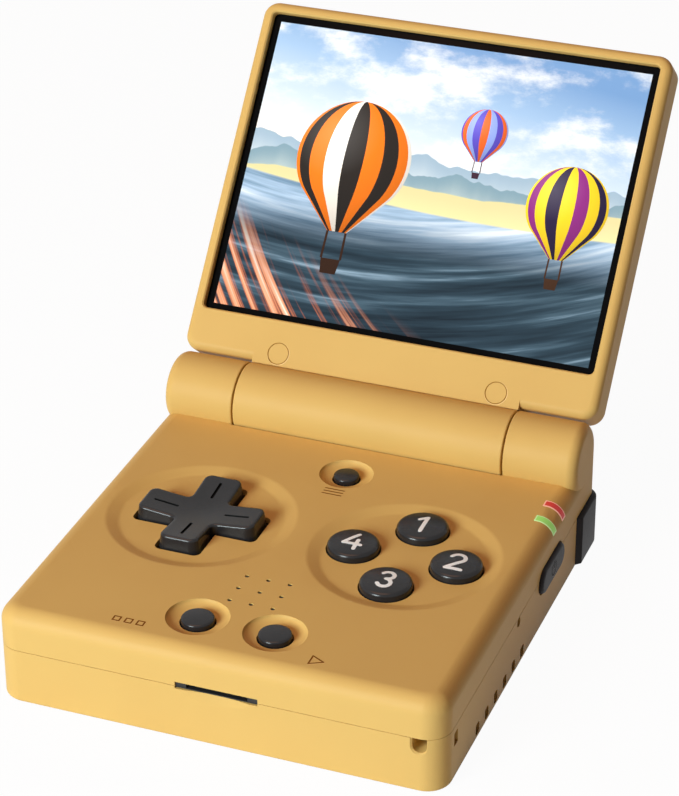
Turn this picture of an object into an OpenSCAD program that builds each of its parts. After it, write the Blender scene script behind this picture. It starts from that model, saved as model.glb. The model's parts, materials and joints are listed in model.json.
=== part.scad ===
// Clamshell handheld game console, lid open.
// Millimetres. +X is the player's right, +Y is away from the player, +Z is up.
// The origin is the centre of the flat underside of the lower half, which the feet are flush with.

/* [Body] */
// Width of the lower half
body_w = 82; // [79:0.5:90]
// Depth of the lower half, front face to the back of the hinge barrel
body_d = 86.35; // [84:0.5:96]
// Height of the deck above the underside
deck_h = 18.2; // [17.8:0.1:22]
// Height of the seam between the two lower shells
seam_h = 10.7; // [10.5:0.1:11]
// Gap that shows as the seam line
seam_gap = 0.1; // [0.05:0.05:0.3]
// Wall of both lower shells
wall = 2; // [1.6:0.1:2.2]
// Radius of the front upright corners
corner_r = 4.4; // [3.8:0.1:6]
// Radius of the rear upright corners
rear_corner_r = 2; // [1:0.1:3]
// Rounding of the deck's edge
deck_edge_r = 3.2; // [2.6:0.1:3.6]
// Rounding of the underside's edge
under_edge_r = 0.6; // [0.4:0.1:1.5]
// Thickness of the floor of the lower shell
floor_t = 1.8; // [1.4:0.1:2.2]

/* [Hinge] */
// Radius of the hinge barrel
barrel_r = 6.85; // [6.5:0.05:7.2]
// Height of the hinge axis above the deck
hinge_rise = 2.4; // [2.2:0.1:3]
// Length of each hinge knuckle, from the side of the body inwards
knuckle_w = 14.05; // [13:0.05:16]
// Gap between the barrel's middle part and the body around it
barrel_gap = 0.3; // [0.2:0.05:0.5]
// Wall of the barrel's middle part
barrel_wall = 1.7; // [1.4:0.1:2]
// Rounding of the outer ends of the barrel
barrel_end_r = 2; // [1:0.1:3]
// Rounding of the barrel's edges at the gaps between its parts
gap_edge_r = 0.3; // [0.1:0.05:0.5]
// Angle of the open lid from shut
lid_open = 129.9; // [110:0.1:140]
// Radius of the friction hinge's cartridge
cartridge_r = 4.5; // [4:0.1:5]
// Radius of the friction hinge's shaft
shaft_r = 2; // [1.5:0.1:2.5]
// Outer radius of the hollow pivot that the ribbon cable runs through
sleeve_r = 3.5; // [3:0.1:4]
// Wall of the hollow pivot
sleeve_wall = 0.8; // [0.6:0.1:1]
// Radial running clearance of the hinge
hinge_play = 0.05; // [0.02:0.01:0.1]

/* [Lid] */
// How far the lid stands out beyond the body on each side
lid_over = 0.3; // [0:0.05:0.5]
// Reach of the lid from the hinge axis to its far edge
lid_reach = 78.1; // [77.6:0.1:80]
// Distance of the lid's near corners from the hinge axis
lid_root = 7.3; // [7.2:0.1:8]
// How far the lid's inner face lies in front of the hinge axis
lid_face = 1.4; // [1.1:0.1:1.8]
// How far the lid's back lies behind the hinge axis
lid_back = 6.7; // [6.2:0.05:6.8]
// Depth of the lid's front frame
frame_t = 5.6; // [5:0.1:6]
// Corner radius of the lid
lid_corner_r = 3; // [2.2:0.1:5]
// Rounding of the edge round the lid's inner face
frame_edge_r = 1.6; // [1:0.1:2]
// Rounding of the edge round the lid's back
back_edge_r = 1.2; // [0.6:0.1:2]
// Wall of the lid's back shell
lid_wall = 1.5; // [1.2:0.1:1.8]
// Radius of the round covers over the lid's screws
cover_r = 2; // [1.8:0.1:2.1]
// Distance of each screw cover from the end of the barrel's middle part
cover_in = 4.85; // [4:0.05:8]
// Distance of the screw covers from the hinge axis
cover_u = 9.2; // [9.1:0.1:10.5]

/* [Screen] */
// Width of the lid's frame on each side of the glass
bezel_w = 2.2; // [2:0.1:4]
// Height of the picture
picture_h = 58; // [52:0.1:58.4]
// Distance from the hinge axis to the picture's lower edge
picture_u = 16.55; // [16:0.05:18]
// Black border on each side of the picture
border_w = 1.2; // [0.8:0.1:1.3]
// Black border below the picture
border_low = 0.8; // [0.6:0.1:1.2]
// Black border above the picture
border_high = 1.4; // [0.8:0.1:1.5]
// Depth of the glass below the lid's inner face
glass_sink = 1.6; // [1.6:0.05:1.8]
// Thickness of the cover glass
glass_t = 0.8; // [0.5:0.1:1]
// Thickness of the display panel
panel_t = 1.9; // [1.4:0.1:2.4]

/* [Controls] */
// Distance of both control clusters from the sides
cluster_side = 21.6; // [21:0.1:22.5]
// Distance of both control clusters from the front
cluster_front = 40.925; // [39:0.025:42]
// Outer radius of the dished ring round each cluster
ring_r = 17.7; // [17:0.1:18.2]
// Width of the ring's slope
ring_slope = 3.2; // [2:0.1:4]
// Depth of each cluster's dished floor
ring_depth = 0.8; // [0.4:0.1:1]
// Length across the direction pad
pad_span = 23.2; // [21:0.1:24]
// Width of one arm of the direction pad
pad_arm = 8; // [7:0.1:9]
// Height of the direction pad's tips above the deck
pad_rise = 1.7; // [1.2:0.1:1.8]
// Slope of the direction pad's arms, in degrees
pad_slope = 8; // [0:1:10]
// Gap round the direction pad
pad_gap = 0.4; // [0.3:0.05:0.6]
// Radius of one face button
face_r = 4.7; // [4.2:0.1:5]
// Distance of each face button from the middle of its cluster
face_reach = 9.63; // [9:0.05:10]
// Height of a face button's crown above the deck
face_rise = 0.95; // [0.5:0.05:1.4]
// Height of the crown of a face button's domed top
face_crown = 0.5; // [0.3:0.05:0.8]
// Gap round each round button
key_gap = 0.25; // [0.15:0.05:0.4]
// Radius of the menu button
menu_r = 2.4; // [2:0.1:2.8]
// Distance of the menu button from the back
menu_back = 22.975; // [22:0.025:25]
// Radius of the select and start buttons
option_r = 2.95; // [2.5:0.1:3.2]
// Distance of the select and start buttons from the middle
option_x = 7.1; // [6.8:0.1:9]
// Distance of the select and start buttons from the front
option_front = 10.375; // [9.4:0.025:11]
// Width of the dish round each small button
dish_w = 2.4; // [1.6:0.1:3]
// Depth of the dish round each small button
dish_depth = 1.1; // [0.6:0.1:1.2]
// Height of the small buttons above the deck
option_rise = 0.1; // [0:0.05:0.4]
// Travel of the face buttons and small buttons
key_travel = 1; // [0.6:0.1:1.2]
// Tilt of the direction pad each way, in degrees
pad_tilt = 3.5; // [2.5:0.5:3.5]

/* [Side and front details] */
// Radius of a hole in the speaker grille
grille_r = 0.42; // [0.3:0.02:0.6]
// Distance between holes in the speaker grille
grille_step = 4; // [3:0.1:4.5]
// Distance of the speaker grille from the front
grille_front = 21.025; // [20.5:0.025:22]
// Width of the memory card slot
card_w = 15.1; // [13:0.1:16]
// Height of the memory card slot
card_h = 1.35; // [1:0.05:1.6]
// Place of the memory card slot across the front
card_x = 0.4; // [-2:0.1:2]
// Distance of the power button from the back
power_back = 27.575; // [26:0.025:31]
// Length of the power button
power_l = 13.8; // [10:0.1:15]
// Height of the power button
power_h = 5; // [4:0.1:5.2]
// Height of the middle of the side buttons above the underside
side_z = 9.7; // [9.2:0.1:10]
// How far the power button and the volume rocker stand out
side_proud = 0.7; // [0.4:0.1:1]
// Distance of the reset hole from the front
reset_front = 39.975; // [35:0.025:44]
// Radius of the reset hole
reset_r = 0.9; // [0.7:0.05:1.2]
// Length of the volume rocker
volume_l = 17; // [12:0.5:20]
// Height of the volume rocker
volume_h = 3.6; // [3:0.1:4.5]
// Distance of the volume rocker from the back
volume_back = 37.175; // [32:0.025:42]
// Width of one light pipe
pipe_w = 1.9; // [1.4:0.1:2.4]
// Distance of the red light pipe from the back
red_back = 20.075; // [19.5:0.025:21]
// Distance of the green light pipe from the back
green_back = 25.475; // [24:0.025:28]
// Reach of the light pipes onto the deck, from the side
pipe_reach = 3.8; // [3.4:0.1:5]
// Thickness of the light pipes
pipe_t = 1; // [0.8:0.1:1.2]
// Width of one air slot
vent_w = 1.9; // [1.2:0.1:2.4]
// Height of one air slot
vent_h = 2.2; // [1.6:0.1:2.6]
// Distance between air slots
vent_step = 4.95; // [4:0.05:5.2]
// Distance of the first air slot from the front
vent_front = 17.675; // [16:0.025:19]
// Width of the strap hole
strap_w = 2.6; // [2:0.1:3]
// Distance of the strap hole from the right side
strap_side = 4.4; // [4:0.1:5]

/* [Shoulder buttons] */
// How far the shoulder buttons stand out of the body
shoulder_proud = 0.9; // [0.5:0.1:1.2]
// Thickness of the shoulder buttons
shoulder_t = 2.8; // [2.4:0.1:3]
// Length of the shoulder button along the side
shoulder_side = 11.2; // [9:0.1:12]
// Length of the shoulder button along the back
shoulder_back = 13.8; // [13:0.1:14]
// Inner end of the trigger button beside it, from the middle
trigger_in = 14.9; // [14.5:0.1:16]
// Height of the underside of the shoulder buttons
shoulder_low = 0.1; // [0.1:0.1:1]
// Press of the shoulder buttons, in degrees
shoulder_turn = 3.2; // [2:0.1:3.4]
// Press of the trigger buttons, in degrees
trigger_turn = 4; // [2:0.5:4.5]

/* [Inside] */
// Thickness of the main circuit board
board_t = 1; // [0.8:0.1:1.2]
// Gap between the board's top and the deck's underside
stack_h = 3.5; // [3.4:0.05:3.8]
// Battery size across
battery_w = 50; // [40:1:54]
// Battery size along
battery_l = 40; // [30:1:44]
// Battery thickness
battery_t = 5.5; // [4:0.1:5.8]
// Radius of a screw's thread
screw_r = 0.9; // [0.7:0.05:1.1]
// Radius of a screw's head
screw_head_r = 1.75; // [1.4:0.05:2]
// Radius of a screw post
post_r = 2.7; // [2.5:0.1:3]
// Thickness of the rubber feet, which are set flush in the underside
foot_t = 0.7; // [0.4:0.1:0.9]
// Radius of a rubber foot
foot_r = 3.5; // [2.5:0.1:4]

/* [Hidden] */
$fn = 96;

eps = 0.01;
over = 1;
fit_gap = 0.05;
front_y = -body_d / 2;
rear_y = body_d / 2;
side_x = body_w / 2;
hinge_y = rear_y - barrel_r;
hinge_z = deck_h + hinge_rise;
lid_rise = 180 - lid_open;
knuckle_in = side_x - knuckle_w;
barrel_half = knuckle_in - barrel_gap;
cluster_x = side_x - cluster_side;
cluster_y = front_y + cluster_front;
menu_y = rear_y - menu_back;
option_y = front_y + option_front;
grille_y = front_y + grille_front;
power_y = rear_y - power_back;
reset_y = front_y + reset_front;
volume_y = rear_y - volume_back;
red_y = rear_y - red_back;
green_y = rear_y - green_back;
vent_y = front_y + vent_front;
strap_x = side_x - strap_side;
shoulder_in = side_x - shoulder_back;
trough_r = barrel_r + barrel_gap;
trough_wall = 1.5;
rear_wall_h = 15;
deck_under = deck_h - wall;
board_top = deck_under - stack_h;
board_low = board_top - board_t;
seam_low = seam_h - seam_gap / 2;
seam_high = seam_h + seam_gap / 2;

shell_yellow = [0.78, 0.58, 0.28];
key_black = [0.10, 0.10, 0.11];
dark_grey = [0.12, 0.12, 0.13];
steel_grey = [0.75, 0.75, 0.76];
switch_grey = [0.6, 0.6, 0.62];
mat_grey = [0.72, 0.74, 0.76];
board_green = [0.08, 0.28, 0.16];
ribbon_amber = [0.75, 0.45, 0.15];

// Half outline of a slab's edge: rounded at the top and the bottom outside
module edge_outline(reach, height, top_r, low_r) {
    intersection() {
        square([reach, height]);
        union() {
            translate([0, low_r]) square([reach, height - top_r - low_r]);
            square([reach - low_r, height - top_r]);
            translate([0, low_r]) square([reach - top_r, height - low_r]);
            translate([reach - top_r, height - top_r]) circle(top_r);
            if (low_r > 0) translate([reach - low_r, low_r]) circle(low_r);
        }
    }
}

// Both halves of that outline
module slab_outline(reach, height, top_r, low_r) {
    edge_outline(reach, height, top_r, low_r);
    mirror([1, 0]) edge_outline(reach, height, top_r, low_r);
}

// Flat outline of a rectangle with round corners, centred
module round_rect(w, d, r) {
    square([w - 2 * r, d], center = true);
    square([w, d - 2 * r], center = true);
    for (x = [-1, 1], y = [-1, 1]) {
        translate([x * (w / 2 - r), y * (d / 2 - r)]) circle(r);
    }
}

// Flat outline of a slot with round ends, centred, longest along X
module pill(l, h) {
    square([l - h, h], center = true);
    for (x = [-1, 1]) translate([x * (l - h) / 2, 0]) circle(h / 2);
}

// Extrusion along X from x0 to x1, of an outline drawn in Y and Z
module along_x(x0, x1) {
    translate([x0, 0, 0]) rotate([90, 0, 90]) linear_extrude(x1 - x0) children();
}

// Extrusion along Y from y0 to y1, of an outline drawn in X and Z
module along_y(y0, y1) {
    translate([0, y1, 0]) rotate([90, 0, 0]) linear_extrude(y1 - y0) children();
}

// Box between two corners
module block(low, high) {
    translate(low) cube(high - low);
}

// Upright cylinder at a place [x, y], between two heights
module post(place, low, high, r) {
    translate([place[0], place[1], low]) cylinder(h = high - low, r = r);
}

// Left and right copies
module both_sides() {
    children();
    mirror([1, 0, 0]) children();
}

// Cylinder on the hinge axis from x0 to x1
module on_hinge(x0, x1, r) {
    translate([x0, hinge_y, hinge_z]) rotate([0, 90, 0]) cylinder(h = x1 - x0, r = r);
}

// Cylinder on the hinge axis, drawn in the lid's own frame
module on_lid_axis(x0, x1, r) {
    translate([x0, 0, 0]) rotate([0, 90, 0]) cylinder(h = x1 - x0, r = r);
}

// Everything drawn in the lid's own frame: X across, Y out from the hinge axis, Z to its inner face
module lid_place() {
    translate([0, hinge_y, hinge_z]) rotate([lid_rise, 0, 0]) children();
}

/* Lower half: outer form and shells */

front_run = corner_r + 3;

// Slab under the deck, with round front corners
module deck_slab() {
    both_sides() {
        translate([side_x - corner_r, front_y + corner_r, 0])
            rotate_extrude() edge_outline(corner_r, deck_h, deck_edge_r, under_edge_r);
    }
    along_y(front_y + corner_r, hinge_y) slab_outline(side_x, deck_h, deck_edge_r, under_edge_r);
    translate([side_x - corner_r, front_y + front_run, 0]) rotate([0, 0, -90]) rotate([90, 0, 0])
        linear_extrude(body_w - 2 * corner_r) edge_outline(front_run, deck_h, deck_edge_r, under_edge_r);
}

// Rear block below the hinge, up to a height, from the middle out to the sides
module rear_block(height, inner_x) {
    r = rear_corner_r;
    both_sides() {
        linear_extrude(height) {
            translate([inner_x, hinge_y]) square([side_x - r - inner_x, barrel_r]);
            translate([inner_x, hinge_y]) square([side_x - inner_x, barrel_r - r]);
            translate([side_x - r, rear_y - r]) circle(r);
        }
    }
}

// Hinge knuckle at one end of the barrel
module knuckle() {
    translate([knuckle_in, hinge_y, hinge_z]) rotate([0, 90, 0])
        rotate_extrude() edge_outline(barrel_r, knuckle_w, barrel_end_r, gap_edge_r);
}

// Whole outside of the lower half, both shells together
module body_outside() {
    difference() {
        union() {
            deck_slab();
            rear_block(hinge_z, knuckle_in);
            rear_block(rear_wall_h, 0);
            both_sides() knuckle();
        }
        on_hinge(-knuckle_in, knuckle_in, trough_r);
        block([-knuckle_in, hinge_y, rear_wall_h], [knuckle_in, rear_y + over, hinge_z]);
    }
}

// Hollow inside the lower half, clear of the barrel
module body_hollow(low, high) {
    difference() {
        translate([0, 0, low]) linear_extrude(high - low)
            round_rect(body_w - 2 * wall, body_d - 2 * wall, corner_r - wall);
        on_hinge(-side_x, side_x, trough_r + trough_wall);
    }
}

// Outline of the direction pad's cross, with a margin round it
pad_corner_r = 0.9;
module cross_outline(margin) {
    for (turn = [0, 90]) {
        rotate(turn) round_rect(pad_span + 2 * margin, pad_arm + 2 * margin, pad_corner_r + margin);
    }
}

// Places of the four face buttons round their cluster
face_places = [[0, face_reach], [face_reach, 0], [0, -face_reach], [-face_reach, 0]];

// Dished ring round a cluster, as the solid to cut away
module ring_cut() {
    steps = 4;
    slope = [
        for (i = [0:steps])
        let (t = i / steps)
        [ring_r - ring_slope * (1 - t), -ring_depth * (1 - t * t * (3 - 2 * t))]
    ];
    translate([0, 0, deck_h]) rotate_extrude()
        polygon(concat([[0, -ring_depth]], slope, [[ring_r, over], [0, over]]));
}

// Round dish with a hole for a small button, as the solid to cut away
module dish_cut(place, r) {
    hole = r + key_gap;
    steps = 6;
    bowl = [
        for (i = [0:steps])
        let (a = 90 * i / steps)
        [hole + dish_w * sin(a), -dish_depth * cos(a)]
    ];
    translate([place[0], place[1], deck_h]) rotate_extrude()
        polygon(concat([[0, -dish_depth]], bowl, [[hole + dish_w, over], [0, over]]));
    deck_hole(place, hole);
}

// Round hole through the deck
module deck_hole(place, r) {
    post(place, deck_under - over, deck_h + over, r);
}

// Outline of a light pipe that wraps over the deck's edge, in X and Z
pipe_proud = 0.06;
pipe_drop = 0.7;
module pipe_outline(margin) {
    r = deck_edge_r;
    out = margin == 0 ? pipe_proud : over;
    translate([side_x - r, deck_h - r]) intersection() {
        difference() {
            circle(r + out);
            circle(r - pipe_t - margin);
        }
        translate([-margin, pipe_drop - margin]) square(2 * r);
    }
    translate([side_x - pipe_reach - margin, deck_h - pipe_t - margin])
        square([pipe_reach - r + margin + eps, pipe_t + margin + out]);
}

module light_pipe(y) {
    along_y(y - pipe_w / 2, y + pipe_w / 2) pipe_outline(0);
}

module light_pipe_cut(y) {
    half = pipe_w / 2 + fit_gap;
    along_y(y - half, y + half) pipe_outline(fit_gap);
}

// Openings in the side walls, shared by both shells
module side_openings() {
    along_x(side_x - wall - over, side_x + over) {
        translate([power_y, side_z]) pill(power_l + 2 * key_gap, power_h + 2 * key_gap);
        translate([reset_y, side_z]) circle(reset_r);
    }
    along_x(-side_x - over, -side_x + wall + over)
        translate([volume_y, side_z]) pill(volume_l + 2 * key_gap, volume_h + 2 * key_gap);
}

// Memory card slot with its finger scoop
card_z = seam_h + 0.15;
scoop_r = 36.8;
scoop_out = 35.8;
scoop_z = 16.2;
module card_cut() {
    block([card_x - card_w / 2, front_y - over, card_z - card_h / 2],
          [card_x + card_w / 2, front_y + wall + over, card_z + card_h / 2]);
    intersection() {
        translate([card_x, front_y - scoop_out, scoop_z]) sphere(scoop_r);
        block([-side_x, front_y - over, 0], [side_x, front_y + wall, card_z]);
    }
}

board_gap = 0.4;

// Screw posts of the lower half
post_from_side = 9.5;
post_from_front = 6.175;
post_from_rear = 17.675;
post_x = side_x - post_from_side;
post_front_y = front_y + post_from_front;
post_rear_y = rear_y - post_from_rear;
post_places = [for (x = [-post_x, post_x], y = [post_front_y, post_rear_y]) [x, y]];
post_root = 0.5;
board_hole_r = screw_r + 0.3;

module base_top_shell() {
    color(shell_yellow) difference() {
        union() {
            difference() {
                intersection() {
                    body_outside();
                    block([-side_x - over, front_y - over, seam_high],
                          [side_x + over, rear_y + over, hinge_z + barrel_r + over]);
                }
                body_hollow(seam_h - over, deck_under);
            }
            for (p = post_places) post(p, board_top, deck_under + post_root, post_r);
        }
        for (p = post_places) post(p, board_top - over, deck_under - post_root, screw_r);
        deck_cuts();
        light_pipe_cut(red_y);
        light_pipe_cut(green_y);
        side_openings();
        card_cut();
        hinge_bores();
        rear_ports_cut();
    }
}

// Everything that is cut down into the deck
module deck_cuts() {
    for (s = [-1, 1]) translate([s * cluster_x, cluster_y, 0]) ring_cut();
    translate([-cluster_x, cluster_y, deck_under - over]) linear_extrude(wall + 2 * over)
        cross_outline(pad_gap);
    for (p = face_places) deck_hole([cluster_x, cluster_y] + p, face_r + key_gap);
    dish_cut([0, menu_y], menu_r);
    for (s = [-1, 1]) dish_cut([s * option_x, option_y], option_r);
    for (i = [-1:1], j = [-1:1]) deck_hole([i * grille_step, grille_y + j * grille_step], grille_r);
}

// Bores in the two knuckles, and the ribbon cable's way down from the right one
cartridge_l = knuckle_w - 3.05;
sleeve_in = knuckle_in - 5.95;
sleeve_out = knuckle_in + 3.05;
ribbon_in = knuckle_in + 4.05;
ribbon_out = knuckle_in + 7.65;
ribbon_room = 0.4;
ribbon_slot_front = hinge_y - 3.2;
ribbon_slot_back = hinge_y - 1.6;
module hinge_bores() {
    on_hinge(-knuckle_in - cartridge_l, -knuckle_in + over, cartridge_r);
    on_hinge(knuckle_in - over, ribbon_out + over, sleeve_r);
    block([ribbon_in - ribbon_room, ribbon_slot_front, board_low - over],
          [ribbon_out + ribbon_room, ribbon_slot_back, hinge_z]);
}

// Places of the shoulder and trigger buttons, their pins and the ribs between them
pin_r = 0.7;
pin_place = [side_x - 3.8, rear_y - 9.375];
pin_low = 2.05;
ear_low = 4.4;
ear_high = 7.2;
ear_r = 1.4;
move_gap = 0.3;
well_wall = 1.2;
well_x = side_x - shoulder_t;
well_y = rear_y - shoulder_t - 0.15;
notch_front = rear_y - shoulder_side - move_gap;
rib_w = 1.5;
shoulder_rib = shoulder_in - 0.9 - rib_w;
trigger_out = shoulder_rib - move_gap;
trigger_rib = trigger_in - move_gap - rib_w;
trigger_mid = (trigger_in + trigger_out) / 2;
trigger_pin_r = 0.6;
trigger_pin_y = rear_y - 1.1;
trigger_pin_z = 9.6;
trigger_pin_past = 1.3;
shoulder_switch_x = shoulder_in + 3.3;

// Walls, ribs and bosses that carry the shoulder and trigger buttons of one side
module shoulder_well() {
    boss_r = pin_r + 1;
    block([well_x - well_wall, notch_front - wall, 0], [well_x, rear_y - over, seam_low]);
    block([trigger_rib, well_y - well_wall, 0], [well_x, well_y, seam_low]);
    block([well_x - well_wall, notch_front - wall, 0], [side_x - over, notch_front, seam_low]);
    for (x = [shoulder_rib, trigger_rib]) {
        block([x, well_y - over, 0], [x + rib_w, rear_y, seam_low]);
    }
    post(pin_place, floor_t / 2, ear_low - move_gap, boss_r);
    post(pin_place, ear_high + move_gap, seam_low, boss_r);
}

// Space taken out of the lower shell for the shoulder and trigger buttons of one side
module shoulder_notch() {
    ear_room = ear_r + 0.8;
    difference() {
        block([trigger_in - move_gap, well_y, -over], [side_x + over, rear_y + over, seam_h]);
        block([shoulder_rib, well_y - over, -2 * over], [shoulder_rib + rib_w, rear_y, seam_h + over]);
    }
    block([well_x, notch_front, -over], [side_x + over, rear_y + over, seam_h]);
    block([pin_place[0] - ear_room, pin_place[1] - ear_room, ear_low - move_gap],
          [well_x + over, pin_place[1] + ear_room, ear_high + move_gap]);
    post(pin_place, pin_low - fit_gap, seam_h + over, pin_r);
    along_trigger_pin(trigger_pin_past + 0.1, trigger_pin_r);
    plunger_hole(shoulder_switch_x);
    plunger_hole(trigger_mid);
}

// Cylinder on the trigger's pin axis, past both ends of the trigger button
module along_trigger_pin(past, r) {
    translate([trigger_in - past, trigger_pin_y, trigger_pin_z]) rotate([0, 90, 0])
        cylinder(h = trigger_out - trigger_in + 2 * past, r = r);
}

// Opening in the well's wall through which a button presses its switch
plunger_low = 4;
plunger_high = 7;
module plunger_hole(x) {
    half = 1.6;
    block([x - half, well_y - well_wall - over, plunger_low], [x + half, well_y + over, plunger_high]);
}

// Tunnel for the wrist strap round the front right corner
strap_drop = 1.6;
strap_side_y = front_y + 6.1;
strap_end_y = front_y + 7;
strap_side_w = 1.85;
strap_side_low = 6.8;
strap_side_high = 9.4;
strap_bevel = 0.3;
module strap_cut() {
    half = strap_w / 2;
    low = seam_h - strap_drop;
    along_y(front_y - over, strap_end_y) translate([strap_x, low]) {
        circle(half);
        translate([-half, 0]) square([strap_w, strap_drop + over]);
    }
    block([strap_x - half, strap_side_y - strap_side_w / 2, strap_side_low],
          [side_x + over, strap_side_y + strap_side_w / 2, strap_side_high]);
    translate([strap_x, front_y, low]) {
        wide = half + strap_bevel + eps;
        translate([0, -eps, 0]) rotate([-90, 0, 0]) cylinder(h = strap_bevel + eps, r1 = wide, r2 = half);
        linear_extrude(strap_drop + over)
            polygon([[-wide, -eps], [wide, -eps], [half, strap_bevel], [-half, strap_bevel]]);
    }
}

// Air slots low in both sides
vent_count = 6;
vent_z = 2.1;
vent_corner_r = 0.5;
module vent_cuts() {
    both_sides() along_x(side_x - wall - over, side_x + over) {
        for (i = [0:vent_count - 1]) {
            translate([vent_y + i * vent_step, vent_z]) round_rect(vent_w, vent_h, vent_corner_r);
        }
    }
}

// Rubber feet's places
foot_from_side = 11;
foot_from_front = 12.175;
foot_from_rear = 9.675;
foot_x = side_x - foot_from_side;
foot_front_y = front_y + foot_from_front;
foot_rear_y = rear_y - foot_from_rear;
foot_places = [for (x = [-foot_x, foot_x], y = [foot_front_y, foot_rear_y]) [x, y]];

// Recess for a screw's head
head_room = 0.25;
head_depth = 2.2;

// Posts, the strap's block and the stands of the port board, on the lower shell's floor
module base_inner_forms() {
    root = floor_t / 2;
    for (p = post_places) post(p, root, board_low, post_r);
    block([strap_x - strap_w / 2 - 1.7, front_y + over, root], [side_x - over, strap_end_y + 2, seam_low]);
    for (x = [port_left + 3, port_right - 3]) {
        block([x - rib_w, port_front + 4, root], [x + rib_w, rear_y - over, port_board_low]);
    }
}

module base_bottom_shell() {
    color(shell_yellow) difference() {
        union() {
            difference() {
                intersection() {
                    body_outside();
                    block([-side_x - over, front_y - over, -over],
                          [side_x + over, rear_y + over, seam_low]);
                }
                body_hollow(floor_t, seam_h);
            }
            intersection() {
                body_outside();
                union() {
                    both_sides() shoulder_well();
                    base_inner_forms();
                }
            }
        }
        for (p = post_places) {
            post(p, -over, board_low + over, screw_r + 0.2);
            post(p, -over, head_depth, screw_head_r + head_room);
        }
        for (p = foot_places) post(p, -over, foot_t, foot_r + fit_gap);
        both_sides() shoulder_notch();
        side_openings();
        card_cut();
        strap_cut();
        vent_cuts();
        rear_ports_cut();
    }
}

// Ports in the rear wall, between the triggers
usb_x = 0;
usb_w = 8.9;
usb_h = 3.2;
usb_gap = 0.25;
usb_shell = 0.3;
usb_front = rear_y - 7.8;
usb_back = rear_y - 0.3;
usb_cap = 0.8;
usb_tongue_w = 6.6;
usb_tongue_t = 0.7;
jack_x = usb_x + 8.6;
jack_r = 1.75;
jack_size = 4.6;
jack_w = 6;
jack_l = 12.9;
jack_collar = 0.5;
jack_depth = 12;
port_board_low = 5.2;
port_board_top = port_board_low + board_t;
port_board_l = 14.775;
port_left_room = 8;
port_right_room = 4.4;
port_left = usb_x - port_left_room;
port_right = jack_x + port_right_room;
port_rear = rear_y - wall - board_gap;
port_front = port_rear - port_board_l;
usb_z = port_board_top + usb_h / 2;
jack_z = port_board_top + jack_size / 2;
module rear_ports_cut() {
    along_y(rear_y - wall - over, rear_y + over) {
        translate([usb_x, usb_z]) pill(usb_w + 2 * usb_gap, usb_h + 2 * usb_gap);
        translate([jack_x, jack_z]) circle(jack_r + jack_collar + 0.1);
    }
}

/* Boards and parts inside the lower half */

board_from_side = 5;
board_from_rear = 13.775;
board_x = side_x - board_from_side;
board_rear = rear_y - board_from_rear;
module main_board() {
    board_front = front_y + wall + board_gap;
    color(board_green) difference() {
        translate([0, 0, board_low]) linear_extrude(board_t) difference() {
            translate([-board_x, board_front]) square([2 * board_x, board_rear - board_front]);
            for (p = post_places) translate(p) circle(board_hole_r);
        }
        block([strap_x - strap_w / 2 - 2.1, front_y, board_low - over],
              [side_x, strap_end_y + 2 + board_gap, board_top + over]);
    }
}

module port_board() {
    color(board_green)
        block([port_left, port_front, port_board_low], [port_right, port_rear, port_board_top]);
}

// Metal can over the processor, under the board
shield_w = 12;
shield_l = 7;
shield_t = 1.7;
shield_from_side = 24;
shield_x = shield_from_side - side_x;
shield_y = board_rear - 4.9;
module processor_shield() {
    color(steel_grey) translate([shield_x, shield_y, board_low - shield_t]) linear_extrude(shield_t)
        round_rect(shield_w, shield_l, 1);
}

battery_x = -1;
battery_y = -2;
battery_edge_r = 1.2;
module battery() {
    color([0.62, 0.64, 0.68])
        along_x(battery_x - battery_w / 2, battery_x + battery_w / 2)
            translate([battery_y, floor_t + fit_gap + battery_t / 2])
                round_rect(battery_l, battery_t, battery_edge_r);
}

// Speaker under the grille
speaker_w = 18;
speaker_l = 12.4;
speaker_r = 3;
speaker_rim = 1.5;
speaker_dip = 0.5;
module speaker() {
    height = stack_h - 2 * fit_gap;
    color(dark_grey) translate([0, grille_y, board_top + fit_gap]) {
        linear_extrude(height - speaker_dip) round_rect(speaker_w, speaker_l, speaker_r);
        linear_extrude(height) difference() {
            round_rect(speaker_w, speaker_l, speaker_r);
            round_rect(speaker_w - 2 * speaker_rim, speaker_l - 2 * speaker_rim, speaker_r - 1);
        }
    }
}

// Card reader hanging under the board, with a mouth that fills the front slot
reader_half = 7.2;
reader_l = 14.5;
reader_front = front_y + wall + 0.5;
reader_low = card_z - 0.85;
card_room = [5.6, 13.5, 0.4];
mouth_y = front_y + 0.35;
mouth_gap = 0.1;
module card_reader() {
    mouth_half = [card_w / 2 - mouth_gap, card_h / 2 - mouth_gap];
    color(dark_grey) difference() {
        union() {
            block([card_x - reader_half, reader_front, reader_low],
                  [card_x + reader_half, reader_front + reader_l, board_low]);
            block([card_x - mouth_half[0], mouth_y, card_z - mouth_half[1]],
                  [card_x + mouth_half[0], reader_front + 2 * fit_gap, card_z + mouth_half[1]]);
        }
        block([card_x - card_room[0], mouth_y - over, card_z - card_room[2]],
              [card_x + card_room[0], reader_front + card_room[1], card_z + card_room[2]]);
    }
}

module usb_port() {
    color(steel_grey) {
        along_y(usb_front, usb_back) translate([usb_x, usb_z]) difference() {
            pill(usb_w, usb_h);
            pill(usb_w - 2 * usb_shell, usb_h - 2 * usb_shell);
        }
        along_y(usb_front, usb_front + usb_cap) translate([usb_x, usb_z]) pill(usb_w, usb_h);
    }
    color(dark_grey) along_y(usb_front + usb_cap / 2, usb_back - usb_cap) translate([usb_x, usb_z])
        square([usb_tongue_w, usb_tongue_t], center = true);
}

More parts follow.
